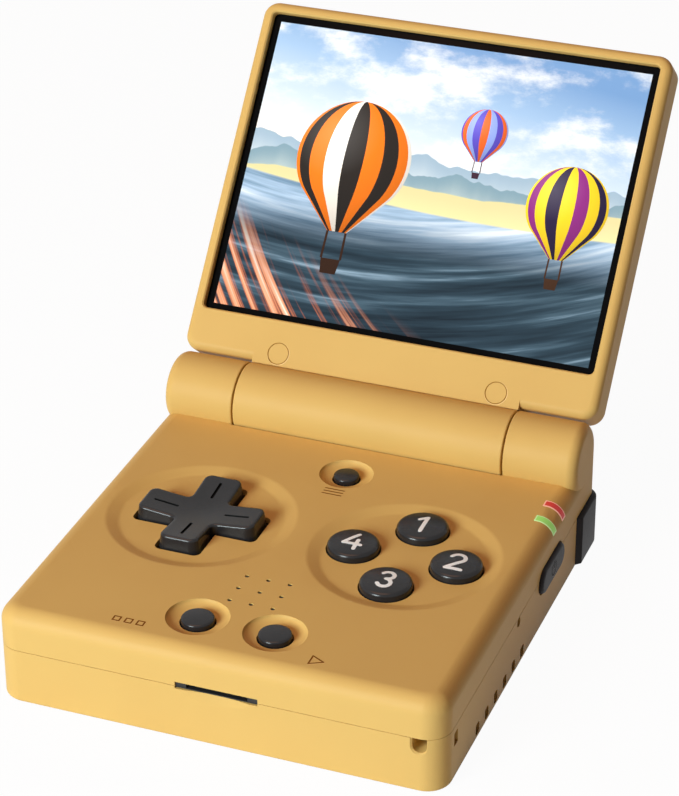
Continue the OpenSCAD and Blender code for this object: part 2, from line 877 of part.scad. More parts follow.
module headphone_jack() {
    back = rear_y - wall - 0.1;
    color(dark_grey) difference() {
        union() {
            block([jack_x - jack_w / 2, back - jack_l, port_board_top],
                  [jack_x + jack_w / 2, back, port_board_top + jack_size]);
            along_y(back - over, rear_y - 0.2) translate([jack_x, jack_z]) circle(jack_r + jack_collar);
        }
        along_y(rear_y - jack_depth, rear_y) translate([jack_x, jack_z]) circle(jack_r);
    }
}

// Heights of the buttons' undersides and of what they press on
flange_t = 0.9;
flange_w = 0.9;
flange_top = deck_under - fit_gap;
key_foot = flange_top - flange_t - 0.15;
mat_t = 0.5;
dome_r = 1.9;
dome_slant = 0.4;
face_dome_h = key_foot - key_travel - fit_gap - board_top - fit_gap;
pad_foot = board_top + 1.9;
pad_pivot_z = board_top + 1.5;
pad_tip_drop = (pad_span / 2) * sin(pad_tilt);
pad_dome_h = pad_foot - pad_tip_drop - 0.1 - board_top - fit_gap;

// Silicone dome at a place on a mat
module dome(place, height) {
    translate(place) cylinder(h = height, r1 = dome_r, r2 = dome_r - dome_slant);
}

// Silicone mat with a dome under each pole of the direction pad
pad_mat_r = pad_span / 2 - 0.2;
pad_dome_share = 0.85;
module pad_membrane() {
    color(mat_grey) translate([-cluster_x, cluster_y, board_top + fit_gap]) {
        difference() {
            cylinder(h = mat_t, r = pad_mat_r);
            post([0, 0], -over, mat_t + over, 3.4);
        }
        for (p = face_places) dome(p * pad_dome_share, pad_dome_h);
    }
}

// Silicone mat with a dome under each face button
face_mat_r = 3.6;
face_mat_arm = 3;
module face_membrane() {
    color(mat_grey) translate([cluster_x, cluster_y, board_top + fit_gap]) {
        linear_extrude(mat_t) for (p = face_places) {
            translate(p) circle(face_mat_r);
            rotate(atan2(p[1], p[0])) translate([0, -face_mat_arm / 2]) square([face_reach, face_mat_arm]);
        }
        for (p = face_places) dome(p, face_dome_h);
    }
}

// Dome switches under the three small buttons
key_switch_w = 4;
key_switch_t = 0.9;
key_switch_r = 1.1;
module key_switches() {
    color(switch_grey) for (p = [[0, menu_y], [-option_x, option_y], [option_x, option_y]]) {
        translate([p[0], p[1], board_top]) {
            linear_extrude(key_switch_t) square(key_switch_w, center = true);
            cylinder(h = face_dome_h, r = key_switch_r);
        }
    }
}

// Switches on the board's edges, behind the power button, the reset hole and the volume rocker
volume_switch_y = volume_l / 2 - 3;
module side_switches() {
    color(switch_grey) {
        edge_switch(power_y);
        edge_switch(reset_y);
        mirror([1, 0, 0]) {
            edge_switch(volume_y - volume_switch_y);
            edge_switch(volume_y + volume_switch_y);
        }
    }
}

side_flange_in = side_x - wall - 1.1;
side_travel = 0.5;
edge_switch_w = 4.8;
edge_switch_t = 1.8;
plunger_w = 2;
module edge_switch(y) {
    tip = side_flange_in - side_travel - 0.1;
    block([board_x - 4.4, y - edge_switch_w / 2, board_low - edge_switch_t],
          [tip - 1, y + edge_switch_w / 2, board_low]);
    block([tip - 1.5, y - plunger_w / 2, board_low - 1.5], [tip, y + plunger_w / 2, board_low - 0.5]);
}

// Switches behind the shoulder and trigger buttons, each on a stem from the floor
well_switch_half = 2.2;
well_switch_low = 3.6;
well_switch_high = 7.4;
module shoulder_switches() {
    back = well_y - well_wall - fit_gap;
    front = well_y - 3.6;
    plunger_half = 1.2;
    color(switch_grey) both_sides() for (x = [shoulder_switch_x, trigger_mid]) {
        block([x - well_switch_half, front, well_switch_low],
              [x + well_switch_half, back, well_switch_high]);
        block([x - plunger_half, back - 0.25, plunger_low + 0.4],
              [x + plunger_half, well_y - 0.1, plunger_high - 0.4]);
        block([x - well_switch_half, front, floor_t + fit_gap],
              [x + well_switch_half, back - 1.15, well_switch_low + 0.1]);
    }
}

/* Moving controls */

// Ball that the direction pad rocks on, and the skirt that keeps the pad under the deck
pivot_r = 1.45;
pad_skirt_r = 7;
pad_skirt_t = 0.8;
module pad_pivot() {
    collar_t = 0.6;
    color([0.75, 0.75, 0.78]) translate([-cluster_x, cluster_y, pad_pivot_z]) {
        sphere(pivot_r);
        translate([0, 0, -collar_t / 2]) cylinder(h = collar_t, r = pivot_r + 0.4);
    }
}

// Groove along one arm of the direction pad, as the solid to cut away
groove_in = 5;
groove_l = 4.2;
groove_w = 0.4;
groove_depth = 0.3;
module pad_groove(inner_z, slope) {
    translate([groove_in, -groove_w / 2, inner_z - groove_depth]) rotate([0, -slope, 0])
        cube([groove_l, groove_w, over]);
}

// Direction pad: a cross with arms that rise outwards
module direction_pad() {
    tip_r = pad_span / 2;
    tip_z = deck_h + pad_rise;
    dip_r = pad_arm / 2;
    dip_z = tip_z - (tip_r - dip_r) * tan(pad_slope);
    arm_start = [dip_r * 1.2, dip_z + 0.1];
    arm_end = [tip_r - 0.7, tip_z - 0.05];
    slope = atan2(arm_end[1] - arm_start[1], arm_end[0] - arm_start[0]);
    rim_z = tip_z - 0.9;
    socket_r = pivot_r + 0.25;
    socket_wide = socket_r + 0.5;
    color(key_black) translate([-cluster_x, cluster_y, 0]) difference() {
        union() {
            translate([0, 0, pad_foot]) linear_extrude(tip_z - pad_foot) cross_outline(0);
            post([0, 0], pad_foot, pad_foot + pad_skirt_t, pad_skirt_r);
        }
        rotate_extrude() polygon([
            [0, dip_z - 0.35], [dip_r * 0.7, dip_z - 0.2], arm_start, arm_end,
            [tip_r + 0.2, rim_z], [tip_r + 2, rim_z], [tip_r + 2, tip_z + 3], [0, tip_z + 3]
        ]);
        for (turn = [0:90:270]) {
            rotate(turn) pad_groove(arm_start[1] + (groove_in - arm_start[0]) * tan(slope), slope);
        }
        translate([0, 0, pad_pivot_z]) sphere(socket_r);
        post([0, 0], pad_pivot_z - 0.7, pad_pivot_z + 0.7, socket_wide);
        post([0, 0], pad_foot - over, pad_foot + 0.2, socket_wide);
    }
}

// Round key: a cap with a rounded rim and a low crown, over a flange that keeps it in
module round_key(r, rise, crown, rim_r) {
    height = deck_h + rise - key_foot;
    ball = (r * r + crown * crown) / (2 * crown);
    translate([0, 0, key_foot]) rotate_extrude() intersection() {
        edge_outline(r, height, rim_r, 0);
        translate([0, height - ball]) circle(ball);
    }
    post([0, 0], flange_top - flange_t, flange_top, r + flange_w);
}

face_rim_r = 0.9;
module face_button(i) {
    color(key_black) translate([cluster_x + face_places[i][0], cluster_y + face_places[i][1], 0])
        round_key(face_r, face_rise, face_crown, face_rim_r);
}

small_crown = 0.15;
small_rim_r = 0.5;
module small_button(x, y, r) {
    color(key_black) translate([x, y, 0]) round_key(r, option_rise, small_crown, small_rim_r);
}

// Cap of a long side button, from its flange out to its rounded face, pointing along +X
side_fn = 32;
module side_cap(l, h, flange_depth) {
    out = side_x + side_proud;
    hull() {
        along_x(side_flange_in + 0.2, out - 0.5) pill(l, h, $fn = side_fn);
        along_x(out - 0.6, out - 0.15) pill(l - 0.5, h - 0.5, $fn = side_fn);
        along_x(out - 0.2, out) pill(l - 1.3, h - 1.3, $fn = side_fn);
    }
    along_x(side_flange_in, side_flange_in + flange_depth) pill(l + 1.8, h + 1.2);
}

module power_button() {
    color(key_black) translate([0, power_y, side_z]) side_cap(power_l, power_h, 1);
}

module reset_button() {
    tip = side_x - 0.6;
    color(key_black) along_x(side_flange_in, tip) translate([reset_y, side_z]) circle(reset_r - 0.15);
    color(key_black) along_x(side_flange_in, side_flange_in + 1) translate([reset_y, side_z])
        circle(reset_r + 0.8);
}

module volume_rocker() {
    color(key_black) mirror([1, 0, 0]) translate([0, volume_y, side_z]) side_cap(volume_l, volume_h, 0.6);
}

// Outline from above of a shoulder button, which wraps round a rear corner
shoulder_corner_r = 3;
module shoulder_outline() {
    out_x = side_x + shoulder_proud;
    out_y = rear_y + shoulder_proud;
    low_y = notch_front + move_gap;
    r = shoulder_corner_r;
    difference() {
        union() {
            translate([shoulder_in, low_y]) square([out_x - r - shoulder_in, out_y - low_y]);
            translate([shoulder_in, low_y]) square([out_x - shoulder_in, out_y - r - low_y]);
            translate([out_x - r, out_y - r]) circle(r);
        }
        translate([shoulder_in - over, low_y - over])
            square([out_x - shoulder_t - shoulder_in + over, out_y - shoulder_t - low_y + over]);
    }
}

// Shoulder button with the ear that turns on its pin
shoulder_high = seam_low - 0.25;
module shoulder_key() {
    color(key_black) difference() {
        union() {
            translate([0, 0, shoulder_low]) linear_extrude(shoulder_high - shoulder_low) shoulder_outline();
            block([pin_place[0], pin_place[1] - ear_r, ear_low],
                  [side_x - over, pin_place[1] + ear_r, ear_high]);
            post(pin_place, ear_low, ear_high, ear_r);
        }
        post(pin_place, 0, seam_h, pin_r + fit_gap);
    }
}

// Trigger button beside it
trigger_edge_r = 0.8;
module trigger_key() {
    out_y = rear_y + shoulder_proud - 0.1;
    low = shoulder_low + 0.2;
    color(key_black) difference() {
        along_x(trigger_in, trigger_out) translate([out_y - shoulder_t / 2, (low + shoulder_high) / 2])
            round_rect(shoulder_t, shoulder_high - low, trigger_edge_r);
        along_trigger_pin(over, trigger_pin_r + fit_gap);
    }
}

pin_fit = 0.02;
module shoulder_pins() {
    color(steel_grey) both_sides() post(pin_place, pin_low, seam_low - 0.3, pin_r - pin_fit);
}

module trigger_pins() {
    color(steel_grey) both_sides() along_trigger_pin(trigger_pin_past, trigger_pin_r - pin_fit);
}

// Fasteners and feet

// Screws through the lower shell and the board into the posts of the upper shell
base_head_low = 1;
base_head_t = 1.2;
screw_bite = 2.2;
module base_screws() {
    color(steel_grey) for (p = post_places) difference() {
        union() {
            post(p, base_head_low, base_head_low + base_head_t, screw_head_r);
            post(p, base_head_low, board_top + screw_bite, screw_r);
        }
        translate([p[0], p[1], base_head_low + 0.1]) cross_slot();
    }
}

// Cross recess in a screw's head
slot_l = 2;
slot_w = 0.4;
module cross_slot() {
    for (turn = [0, 90]) rotate(turn) translate([-slot_l / 2, -slot_w / 2, -over / 2])
        cube([slot_l, slot_w, over]);
}

module rubber_feet() {
    color([0.15, 0.15, 0.16]) for (p = foot_places) post(p, 0, foot_t, foot_r);
}

/* Hinge */

// Friction cartridge in the left knuckle, and its shaft in the lid's barrel
cartridge_end = 1.2;
module hinge_cartridge() {
    outer = -knuckle_in - cartridge_l;
    color(steel_grey) difference() {
        on_hinge(outer + fit_gap, -knuckle_in, cartridge_r - pin_fit);
        on_hinge(outer + cartridge_end, -knuckle_in + over, shaft_r + hinge_play);
    }
}

shaft_wall = 5;
shaft_collar_r = shaft_r + 1.5;
module hinge_shaft() {
    outer = -knuckle_in - cartridge_l;
    inner = -barrel_half + shaft_wall;
    color(steel_grey) {
        on_hinge(outer + cartridge_end + 0.3, inner + over, shaft_r - pin_fit);
        on_hinge(inner + fit_gap, inner + 1.2, shaft_collar_r);
    }
}

// Hollow pivot in the right knuckle
module hinge_sleeve() {
    color(steel_grey) difference() {
        on_hinge(sleeve_in, sleeve_out, sleeve_r);
        on_hinge(sleeve_in - over, sleeve_out + over, sleeve_r - sleeve_wall);
    }
}

// Ribbon cable: a roll on the hinge axis, split where the lid's half turns against the body's half
roll_r = 2.4;
ribbon_t = 0.3;
ribbon_split = knuckle_in + 0.35;
module roll(x0, x1) {
    difference() {
        on_hinge(x0, x1, roll_r);
        on_hinge(x0 - over, x1 + over, roll_r - ribbon_t);
    }
}

module base_ribbon() {
    back = hinge_y - roll_r + ribbon_t;
    top = board_low - fit_gap;
    color(ribbon_amber) {
        roll(ribbon_split + 0.2, ribbon_out);
        block([ribbon_in, back - ribbon_t, top - ribbon_t], [ribbon_out, back, hinge_z]);
        block([ribbon_in, board_rear - 0.9, top - ribbon_t], [ribbon_out, back, top]);
    }
}

/* Lid */

lid_half = side_x + lid_over;
frame_back = lid_face - frame_t;
glass_half = lid_half - bezel_w;
picture_half = glass_half - border_w;
glass_low = picture_u - border_low;
glass_high = picture_u + picture_h + border_high;
glass_top = lid_face - glass_sink;
glass_under = glass_top - glass_t;
glass_corner_r = 1;
ledge = 0.8;
ledge_t = 0.6;
ledge_corner_r = 0.6;
panel_gap = 0.15;
panel_top = glass_under - ledge_t - fit_gap;
panel_under = panel_top - panel_t;
panel_corner_r = 0.8;
film_t = 0.3;
film_corner_r = 0.3;
bracket_top = panel_under - fit_gap;
bracket_t = 0.5;
lid_screw_tip = frame_back - 1.6;

// Whole outside of the lid without its barrel, in the lid's own frame
module lid_outside() {
    w = lid_half - lid_corner_r;
    l = (lid_reach - lid_root) / 2 - lid_corner_r;
    h = lid_face + lid_back;
    translate([0, (lid_root + lid_reach) / 2, -lid_back]) {
        for (x = [-w, w], y = [-l, l]) translate([x, y, 0])
            rotate_extrude() edge_outline(lid_corner_r, h, frame_edge_r, back_edge_r);
        along_y(-l, l) slab_outline(lid_half, h, frame_edge_r, back_edge_r);
        rotate([0, 0, 90]) along_y(-w, w) slab_outline(l + lid_corner_r, h, frame_edge_r, back_edge_r);
    }
    block([-barrel_half, 0, -lid_back], [barrel_half, lid_root + 3, lid_face]);
}

// Part of the lid's outside between two depths
module lid_slice(n0, n1) {
    intersection() {
        lid_outside();
        block([-lid_half - over, 0, n0], [lid_half + over, lid_reach + over, n1]);
    }
}

// Rectangle in the lid's frame between two depths, with round corners
module lid_pocket(half, low, high, n0, n1, r) {
    translate([0, (low + high) / 2, n0]) linear_extrude(n1 - n0) round_rect(2 * half, high - low, r);
}

// Slanting edge round the mouth of the screen's pocket, as the solid to cut away
mouth_bevel = 0.25;
module lid_mouth(half, low, high, r) {
    x = half - r;
    u = (high - low) / 2 - r;
    wide = mouth_bevel + eps;
    translate([0, (low + high) / 2, lid_face - mouth_bevel]) {
        for (px = [-x, x], pu = [-u, u]) translate([px, pu, 0]) cylinder(h = wide, r1 = r, r2 = r + wide);
        along_y(-u, u) polygon([[-half, 0], [half, 0], [half + wide, wide], [-half - wide, wide]]);
        rotate([0, 0, 90]) along_y(-x, x)
            polygon([[-u - r, 0], [u + r, 0], [u + r + wide, wide], [-u - r - wide, wide]]);
    }
}

// The two places of the lid's screws and their covers
module at_lid_screws() {
    x = barrel_half - cover_in;
    for (s = [-1, 1]) translate([s * x, cover_u, 0]) children();
}

cover_t = 0.8;
lid_head_t = 1.1;
lid_head_low = lid_face - cover_t - 1.35;
module lid_front_frame() {
    color(shell_yellow) lid_place() difference() {
        lid_slice(frame_back, lid_face + over);
        on_lid_axis(-lid_half - over, lid_half + over, barrel_r + fit_gap);
        lid_pocket(glass_half + fit_gap, glass_low - fit_gap, glass_high + fit_gap,
                   glass_under, lid_face + over, glass_corner_r);
        lid_mouth(glass_half + fit_gap, glass_low - fit_gap, glass_high + fit_gap, glass_corner_r);
        lid_pocket(glass_half - ledge, glass_low + ledge, glass_high - ledge,
                   frame_back - over, lid_face, ledge_corner_r);
        lid_pocket(glass_half, glass_low, glass_high,
                   frame_back - over, glass_under - ledge_t, glass_corner_r);
        at_lid_screws() {
            post([0, 0], lid_face - cover_t - 0.1, lid_face + over, cover_r + fit_gap);
            post([0, 0], lid_head_low - fit_gap, lid_face, screw_head_r + 0.15);
            post([0, 0], frame_back - over, lid_face, screw_r + 0.15);
        }
        ribbon_cut();
    }
}

// Way of the ribbon cable from the panel into the barrel
ribbon_half = 6;
ribbon_n = bracket_top - bracket_t - fit_gap - ribbon_t;
module ribbon_cut() {
    block([-ribbon_half - ribbon_room, 2, ribbon_n - ribbon_t],
          [ribbon_half + ribbon_room, glass_low + 4, ribbon_n + 1]);
}

module lid_back_shell() {
    color(shell_yellow) lid_place() difference() {
        union() {
            lid_slice(-lid_back - over, frame_back);
            translate([-barrel_half, 0, 0]) rotate([0, 90, 0])
                rotate_extrude() edge_outline(barrel_r, 2 * barrel_half, gap_edge_r, gap_edge_r);
        }
        lid_pocket(glass_half, glass_low, glass_high, -lid_back + lid_wall, lid_face, glass_corner_r);
        on_lid_axis(-barrel_half - over, -barrel_half + shaft_wall + over, shaft_r);
        on_lid_axis(-barrel_half + shaft_wall, barrel_half - 2, barrel_r - barrel_wall);
        on_lid_axis(barrel_half - 2 * over, barrel_half + over, sleeve_r + hinge_play);
        at_lid_screws() post([0, 0], lid_screw_tip, frame_back + over, screw_r);
        ribbon_cut();
    }
}

module screen_glass() {
    color([0.05, 0.05, 0.06]) lid_place()
        lid_pocket(glass_half, glass_low, glass_high, glass_under + fit_gap, glass_top, glass_corner_r);
}

// Rectangle with the panel's outline
module panel_slab(n0, n1) {
    lid_pocket(glass_half - panel_gap, glass_low + panel_gap, glass_high - panel_gap,
               n0, n1, panel_corner_r);
}

// Display panel with the film over its picture
module display_panel() {
    color([0.2, 0.3, 0.45]) lid_place() {
        panel_slab(panel_under, panel_top);
        lid_pocket(picture_half, picture_u, picture_u + picture_h,
                   panel_top - eps, panel_top + film_t, film_corner_r);
    }
}

// Pressed plate that backs the panel
module display_bracket() {
    hole_w = glass_half * 0.41;
    hole_l = picture_h * 0.31;
    hole_u = picture_u + picture_h / 2;
    color(steel_grey) lid_place() difference() {
        panel_slab(bracket_top - bracket_t, bracket_top);
        for (x = [-1:1], y = [-1, 1]) {
            translate([x * 1.5 * hole_w, hole_u + y * 0.78 * hole_l, bracket_top - bracket_t - over])
                linear_extrude(bracket_t + 2 * over) round_rect(hole_w, hole_l, 2);
        }
    }
}

module lid_ribbon() {
    color(ribbon_amber) {
        roll(-ribbon_half, ribbon_split - 0.1);
        lid_place() {
            block([-ribbon_half, ribbon_t, ribbon_n], [ribbon_half, glass_low + 3, ribbon_n + ribbon_t]);
            block([-ribbon_half, 0, ribbon_n], [ribbon_half, ribbon_t, -roll_r + ribbon_t / 2]);
        }
    }
}

module screw_covers() {
    low = lid_face - cover_t - fit_gap;
    color(shell_yellow) lid_place() at_lid_screws() post([0, 0], low, low + cover_t, cover_r);
}

module lid_screws() {
    color(steel_grey) lid_place() at_lid_screws() {
        post([0, 0], lid_head_low, lid_head_low + lid_head_t, screw_head_r);
        post([0, 0], lid_screw_tip + 0.1, lid_head_low + 0.7, screw_r);
    }
}

base_top_shell();
base_bottom_shell();
main_board();
port_board();
processor_shield();
battery();
speaker();
card_reader();
usb_port();
headphone_jack();
pad_membrane();
face_membrane();
key_switches();
side_switches();
shoulder_switches();
pad_pivot();
direction_pad();
face_button(0);  // button_north
face_button(1);  // button_east
face_button(2);  // button_south
face_button(3);  // button_west
small_button(0, menu_y, menu_r);  // menu_button
small_button(-option_x, option_y, option_r);  // select_button
small_button(option_x, option_y, option_r);  // start_button
power_button();
reset_button();
volume_rocker();
mirror([1, 0, 0]) shoulder_key();  // left_shoulder
shoulder_key();  // right_shoulder
mirror([1, 0, 0]) trigger_key();  // left_trigger
trigger_key();  // right_trigger
shoulder_pins();
trigger_pins();
color("red") light_pipe(red_y);  // red_light_pipe
color("lime") light_pipe(green_y);  // green_light_pipe
base_screws();
rubber_feet();
hinge_cartridge();
hinge_sleeve();
base_ribbon();
hinge_shaft();
lid_front_frame();
lid_back_shell();
screen_glass();
display_panel();
display_bracket();
lid_ribbon();
screw_covers();
lid_screws();
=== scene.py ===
"""Looks of the clamshell handheld game console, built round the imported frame. Sizes are in millimetres."""
import json
import math

import bmesh
import bpy
import numpy as np
from mathutils import Matrix, Vector
from mathutils.kdtree import KDTree


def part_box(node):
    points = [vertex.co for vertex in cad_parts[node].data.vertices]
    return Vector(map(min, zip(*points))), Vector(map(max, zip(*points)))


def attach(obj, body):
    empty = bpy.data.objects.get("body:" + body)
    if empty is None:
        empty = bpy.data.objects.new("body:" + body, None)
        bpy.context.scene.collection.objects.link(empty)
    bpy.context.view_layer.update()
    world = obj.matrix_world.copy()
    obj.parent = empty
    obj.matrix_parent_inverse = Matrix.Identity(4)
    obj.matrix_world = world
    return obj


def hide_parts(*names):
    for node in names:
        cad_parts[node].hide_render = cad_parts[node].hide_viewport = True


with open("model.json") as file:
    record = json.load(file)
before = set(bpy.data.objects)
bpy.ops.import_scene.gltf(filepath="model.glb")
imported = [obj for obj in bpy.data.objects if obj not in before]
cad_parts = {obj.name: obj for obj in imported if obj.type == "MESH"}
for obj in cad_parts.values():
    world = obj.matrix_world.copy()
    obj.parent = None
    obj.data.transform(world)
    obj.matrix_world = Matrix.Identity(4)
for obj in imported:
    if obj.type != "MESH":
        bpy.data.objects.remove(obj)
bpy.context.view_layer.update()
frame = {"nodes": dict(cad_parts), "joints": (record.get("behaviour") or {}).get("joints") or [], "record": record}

MM = 0.001
NODES = frame["nodes"]
JOINTS = {joint["name"]: joint for joint in frame["joints"]}


def box_mm(node):
    """Lowest and highest corner of a node, in millimetres."""
    low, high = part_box(node)
    return low / MM, high / MM


def joint_mm(name):
    """A joint's place, in millimetres."""
    return Vector(JOINTS[name]["pos_m"]) / MM


# Lower half
DECK = 18.2
PAD_AT = joint_mm("pad_rock_forward")

# Lid: its own frame has X across, U out from the hinge axis and N to the inner face
HINGE = joint_mm("lid_hinge")
LID_RISE = math.radians(180 - JOINTS["lid_hinge"]["range_deg"][1])
LID_U = Vector((0, math.cos(LID_RISE), math.sin(LID_RISE)))
LID_N = Vector((0, -math.sin(LID_RISE), math.cos(LID_RISE)))
GLASS_N = -0.2
PICTURE_HALF = 37.6
PICTURE_LOW = 17.1
PICTURE_HEIGHT = 57.35


def on_lid(x, u, n):
    """Point of the lid's own frame, as it stands at rest."""
    return HINGE + Vector((x, 0, 0)) + LID_U * u + LID_N * n


def lid_extent(node):
    """Lowest and highest corner of a lid node in the lid's own frame."""
    offsets = [vertex.co / MM - HINGE for vertex in NODES[node].data.vertices]
    points = [(o.x, o.dot(LID_U), o.dot(LID_N)) for o in offsets]
    return Vector(map(min, zip(*points))), Vector(map(max, zip(*points)))


LID_FACE = lid_extent("lid_front_frame")[1].z


# Camera, as the photograph was taken

CAMERA_AT = (164.986, -415.521, 298.018)
CAMERA_YAW = 20.891
CAMERA_PITCH = -29.513
CAMERA_ROLL = -0.232
LENS = 133.37
SENSOR_WIDTH = 36
NEAR_CLIP = 0.01
FAR_CLIP = 20


def make_camera():
    """The photograph's camera: place, turn and lens."""
    yaw, pitch, roll = map(math.radians, (CAMERA_YAW, CAMERA_PITCH, CAMERA_ROLL))
    forward = Vector((-math.sin(yaw) * math.cos(pitch), math.cos(yaw) * math.cos(pitch), math.sin(pitch)))
    right = Vector((math.cos(yaw), math.sin(yaw), 0))
    up = right.cross(forward)
    side = right * math.cos(roll) + up * math.sin(roll)
    top = up * math.cos(roll) - right * math.sin(roll)
    data = bpy.data.cameras.new("camera")
    data.lens = LENS
    data.sensor_width = SENSOR_WIDTH
    data.clip_start = NEAR_CLIP
    data.clip_end = FAR_CLIP
    camera = bpy.data.objects.new("camera", data)
    camera.matrix_world = Matrix((side, top, -forward)).transposed().to_4x4()
    camera.location = Vector(CAMERA_AT) * MM
    bpy.context.scene.collection.objects.link(camera)
    bpy.context.scene.camera = camera


# Node graphs


class Graph:
    """Nodes of a material or of the world, with short calls for the kinds used here."""

    def __init__(self, owner, output="OutputMaterial"):
        owner.use_nodes = True
        self.owner = owner
        self.tree = owner.node_tree
        self.tree.nodes.clear()
        self.output = self.node(output)

    def node(self, kind, inputs=None, **settings):
        """A node of that kind, with its settings and its inputs set or linked."""
        made = self.tree.nodes.new("ShaderNode" + kind)
        for key, value in settings.items():
            setattr(made, key, value)
        for key, value in (inputs or {}).items():
            self.feed(made.inputs[key], value)
        return made

    def feed(self, socket, value):
        """Links a socket to another, or sets its value."""
        if isinstance(value, bpy.types.NodeSocket):
            self.tree.links.new(value, socket)
        else:
            socket.default_value = value

    def finish(self, shader):
        """Joins a shader to the output and gives the graph's owner."""
        self.tree.links.new(shader.outputs[0], self.output.inputs[0])
        return self.owner

    def math(self, operation, *values):
        """A Math node's result."""
        made = self.node("Math", operation=operation)
        for socket, value in zip(made.inputs, values):
            self.feed(socket, value)
        return made.outputs[0]

    def length(self, a, b):
        """Length of a flat vector."""
        return self.math("SQRT", self.math("ADD", self.math("MULTIPLY", a, a), self.math("MULTIPLY", b, b)))

    def place(self):
        """Object coordinates in millimetres."""
        coords = self.node("TexCoord").outputs["Object"]
        scaled = self.node("VectorMath", {0: coords, 1: (1 / MM,) * 3}, operation="MULTIPLY")
        return scaled.outputs[0]

    def split(self, vector):
        """The three parts of a vector."""
        return self.node("SeparateXYZ", {0: vector}).outputs

    def join(self, x, y, z):
        """A vector from its parts."""
        return self.node("CombineXYZ", {0: x, 1: y, 2: z}).outputs[0]

    def along(self, vector, direction, offset):
        """A place measured along a direction, less an offset."""
        dot = self.node("VectorMath", {0: vector, 1: direction}, operation="DOT_PRODUCT")
        return self.math("SUBTRACT", dot.outputs["Value"], offset)

    def step(self, value, low, high):
        """Goes smoothly from 0 at low to 1 at high."""
        inputs = {"Value": value, "From Min": low, "From Max": high}
        return self.node("MapRange", inputs, interpolation_type="SMOOTHSTEP").outputs[0]

    def spread(self, value, low, high):
        """A value from 0 to 1 spread between low and high."""
        return self.node("MapRange", {"Value": value, "To Min": low, "To Max": high}).outputs[0]

    def noise(self, vector, scale, detail=3.0, rough=0.5, dims="3D"):
        """A noise texture's value."""
        inputs = {"Scale": scale, "Detail": detail, "Roughness": rough}
        inputs["W" if dims == "1D" else "Vector"] = vector
        return self.node("TexNoise", inputs, noise_dimensions=dims).outputs[0]

    def ramp(self, value, stops):
        """A colour ramp over (place, colour) stops."""
        made = self.node("ValToRGB", {"Fac": value})
        elements = made.color_ramp.elements
        while len(elements) < len(stops):
            elements.new(0.5)
        for element, (at, colour) in zip(elements, stops):
            element.position = at
            element.color = (*colour, 1)
        return made.outputs[0]

    def blotches(self, place, low, high, scale, detail):
        """Two near colours in soft blotches."""
        return self.ramp(self.noise(place, scale, detail), [(0.3, low), (0.7, high)])

    def mix(self, share, one, two):
        """One colour into the other by a share."""
        made = self.node("Mix", data_type="RGBA")
        for name, value in ((0, share), (6, one), (7, two)):
            if isinstance(value, tuple) and len(value) == 3:
                value = (*value, 1)
            self.feed(made.inputs[name], value)
        return made.outputs[2]

    def bump(self, height, strength, distance):
        """A bump normal from a height."""
        inputs = {"Height": height, "Strength": strength, "Distance": distance * MM}
        return self.node("Bump", inputs).outputs[0]

    def shade(self, **inputs):
        """The Principled shader, joined to the output."""
        names = {key.replace("_", " ").title().replace("Ior", "IOR"): value for key, value in inputs.items()}
        return self.finish(self.node("BsdfPrincipled", names))


def new_material(name):
    """The empty graph of a new material."""
    return Graph(bpy.data.materials.new(name))


def rgb(code):
    """Linear colour from a hex code as it is seen."""
    parts = [int(code[i:i + 2], 16) / 255 for i in (0, 2, 4)]
    return tuple(c / 12.92 if c <= 0.04045 else ((c + 0.055) / 1.055) ** 2.4 for c in parts)


def shades(*pairs):
    """Stops of a colour ramp from (place, hex code) pairs."""
    return [(at, rgb(code)) for at, code in pairs]


# Materials


def grained_plastic(name, codes, blotch_scale, grain_scale, grain_bump, gloss_scale, roughness, specular):
    """Moulded plastic: two near colours, a fine spark-eroded grain and a slightly uneven gloss."""
    g = new_material(name)
    place = g.place()
    low, high = map(rgb, codes)
    colour = g.blotches(place, low, high, scale=blotch_scale, detail=3.0)
    grain = g.noise(place, grain_scale, detail=2.0, rough=0.6)
    gloss = g.spread(g.noise(place, gloss_scale, detail=4.0), *roughness)
    return g.shade(base_color=colour, roughness=gloss, normal=g.bump(grain, *grain_bump),
                   specular_ior_level=specular)


def shell_plastic():
    """Fine matte yellow plastic, dyed through."""
    return grained_plastic("shell_plastic", ("D7B067", "DAB46A"), blotch_scale=0.05, grain_scale=9.0,
                           grain_bump=(0.25, 0.02), gloss_scale=1.6, roughness=(0.44, 0.52), specular=0.12)


def key_plastic():
    """Charcoal plastic with a satin finish."""
    return grained_plastic("key_plastic", ("212123", "262628"), blotch_scale=0.4, grain_scale=11.0,
                           grain_bump=(0.3, 0.012), gloss_scale=2.2, roughness=(0.18, 0.24), specular=0.3)


def side_key_plastic():
    """Charcoal plastic of the keys in the walls, rubbed to a duller finish."""
    return grained_plastic("side_key_plastic", ("29282A", "2F2E30"), blotch_scale=0.4, grain_scale=9.0,
                           grain_bump=(0.3, 0.02), gloss_scale=2.2, roughness=(0.48, 0.58), specular=0.12)


def plain(name, code, roughness, metallic=0.0, specular=0.5):
    """A moulded or metal surface of one colour with a fine grain."""
    brighter, lifted = 1.12, 0.004
    g = new_material(name)
    place = g.place()
    low = rgb(code)
    high = tuple(min(1.0, c * brighter + lifted) for c in low)
    colour = g.blotches(place, low, high, scale=0.7, detail=4.0)
    bump = g.bump(g.noise(place, scale=5.0, detail=2.0), strength=0.3, distance=0.01)
    return g.shade(base_color=colour, roughness=roughness, metallic=metallic, normal=bump,
                   specular_ior_level=specular)


def print_and_painted_light(name, code):
    """A dull stroke of colour, used for prints and for the painted shade and painted highlights of fine grooves
    and cut marks.
    """
    return plain(name, code, roughness=0.6, specular=0.08)


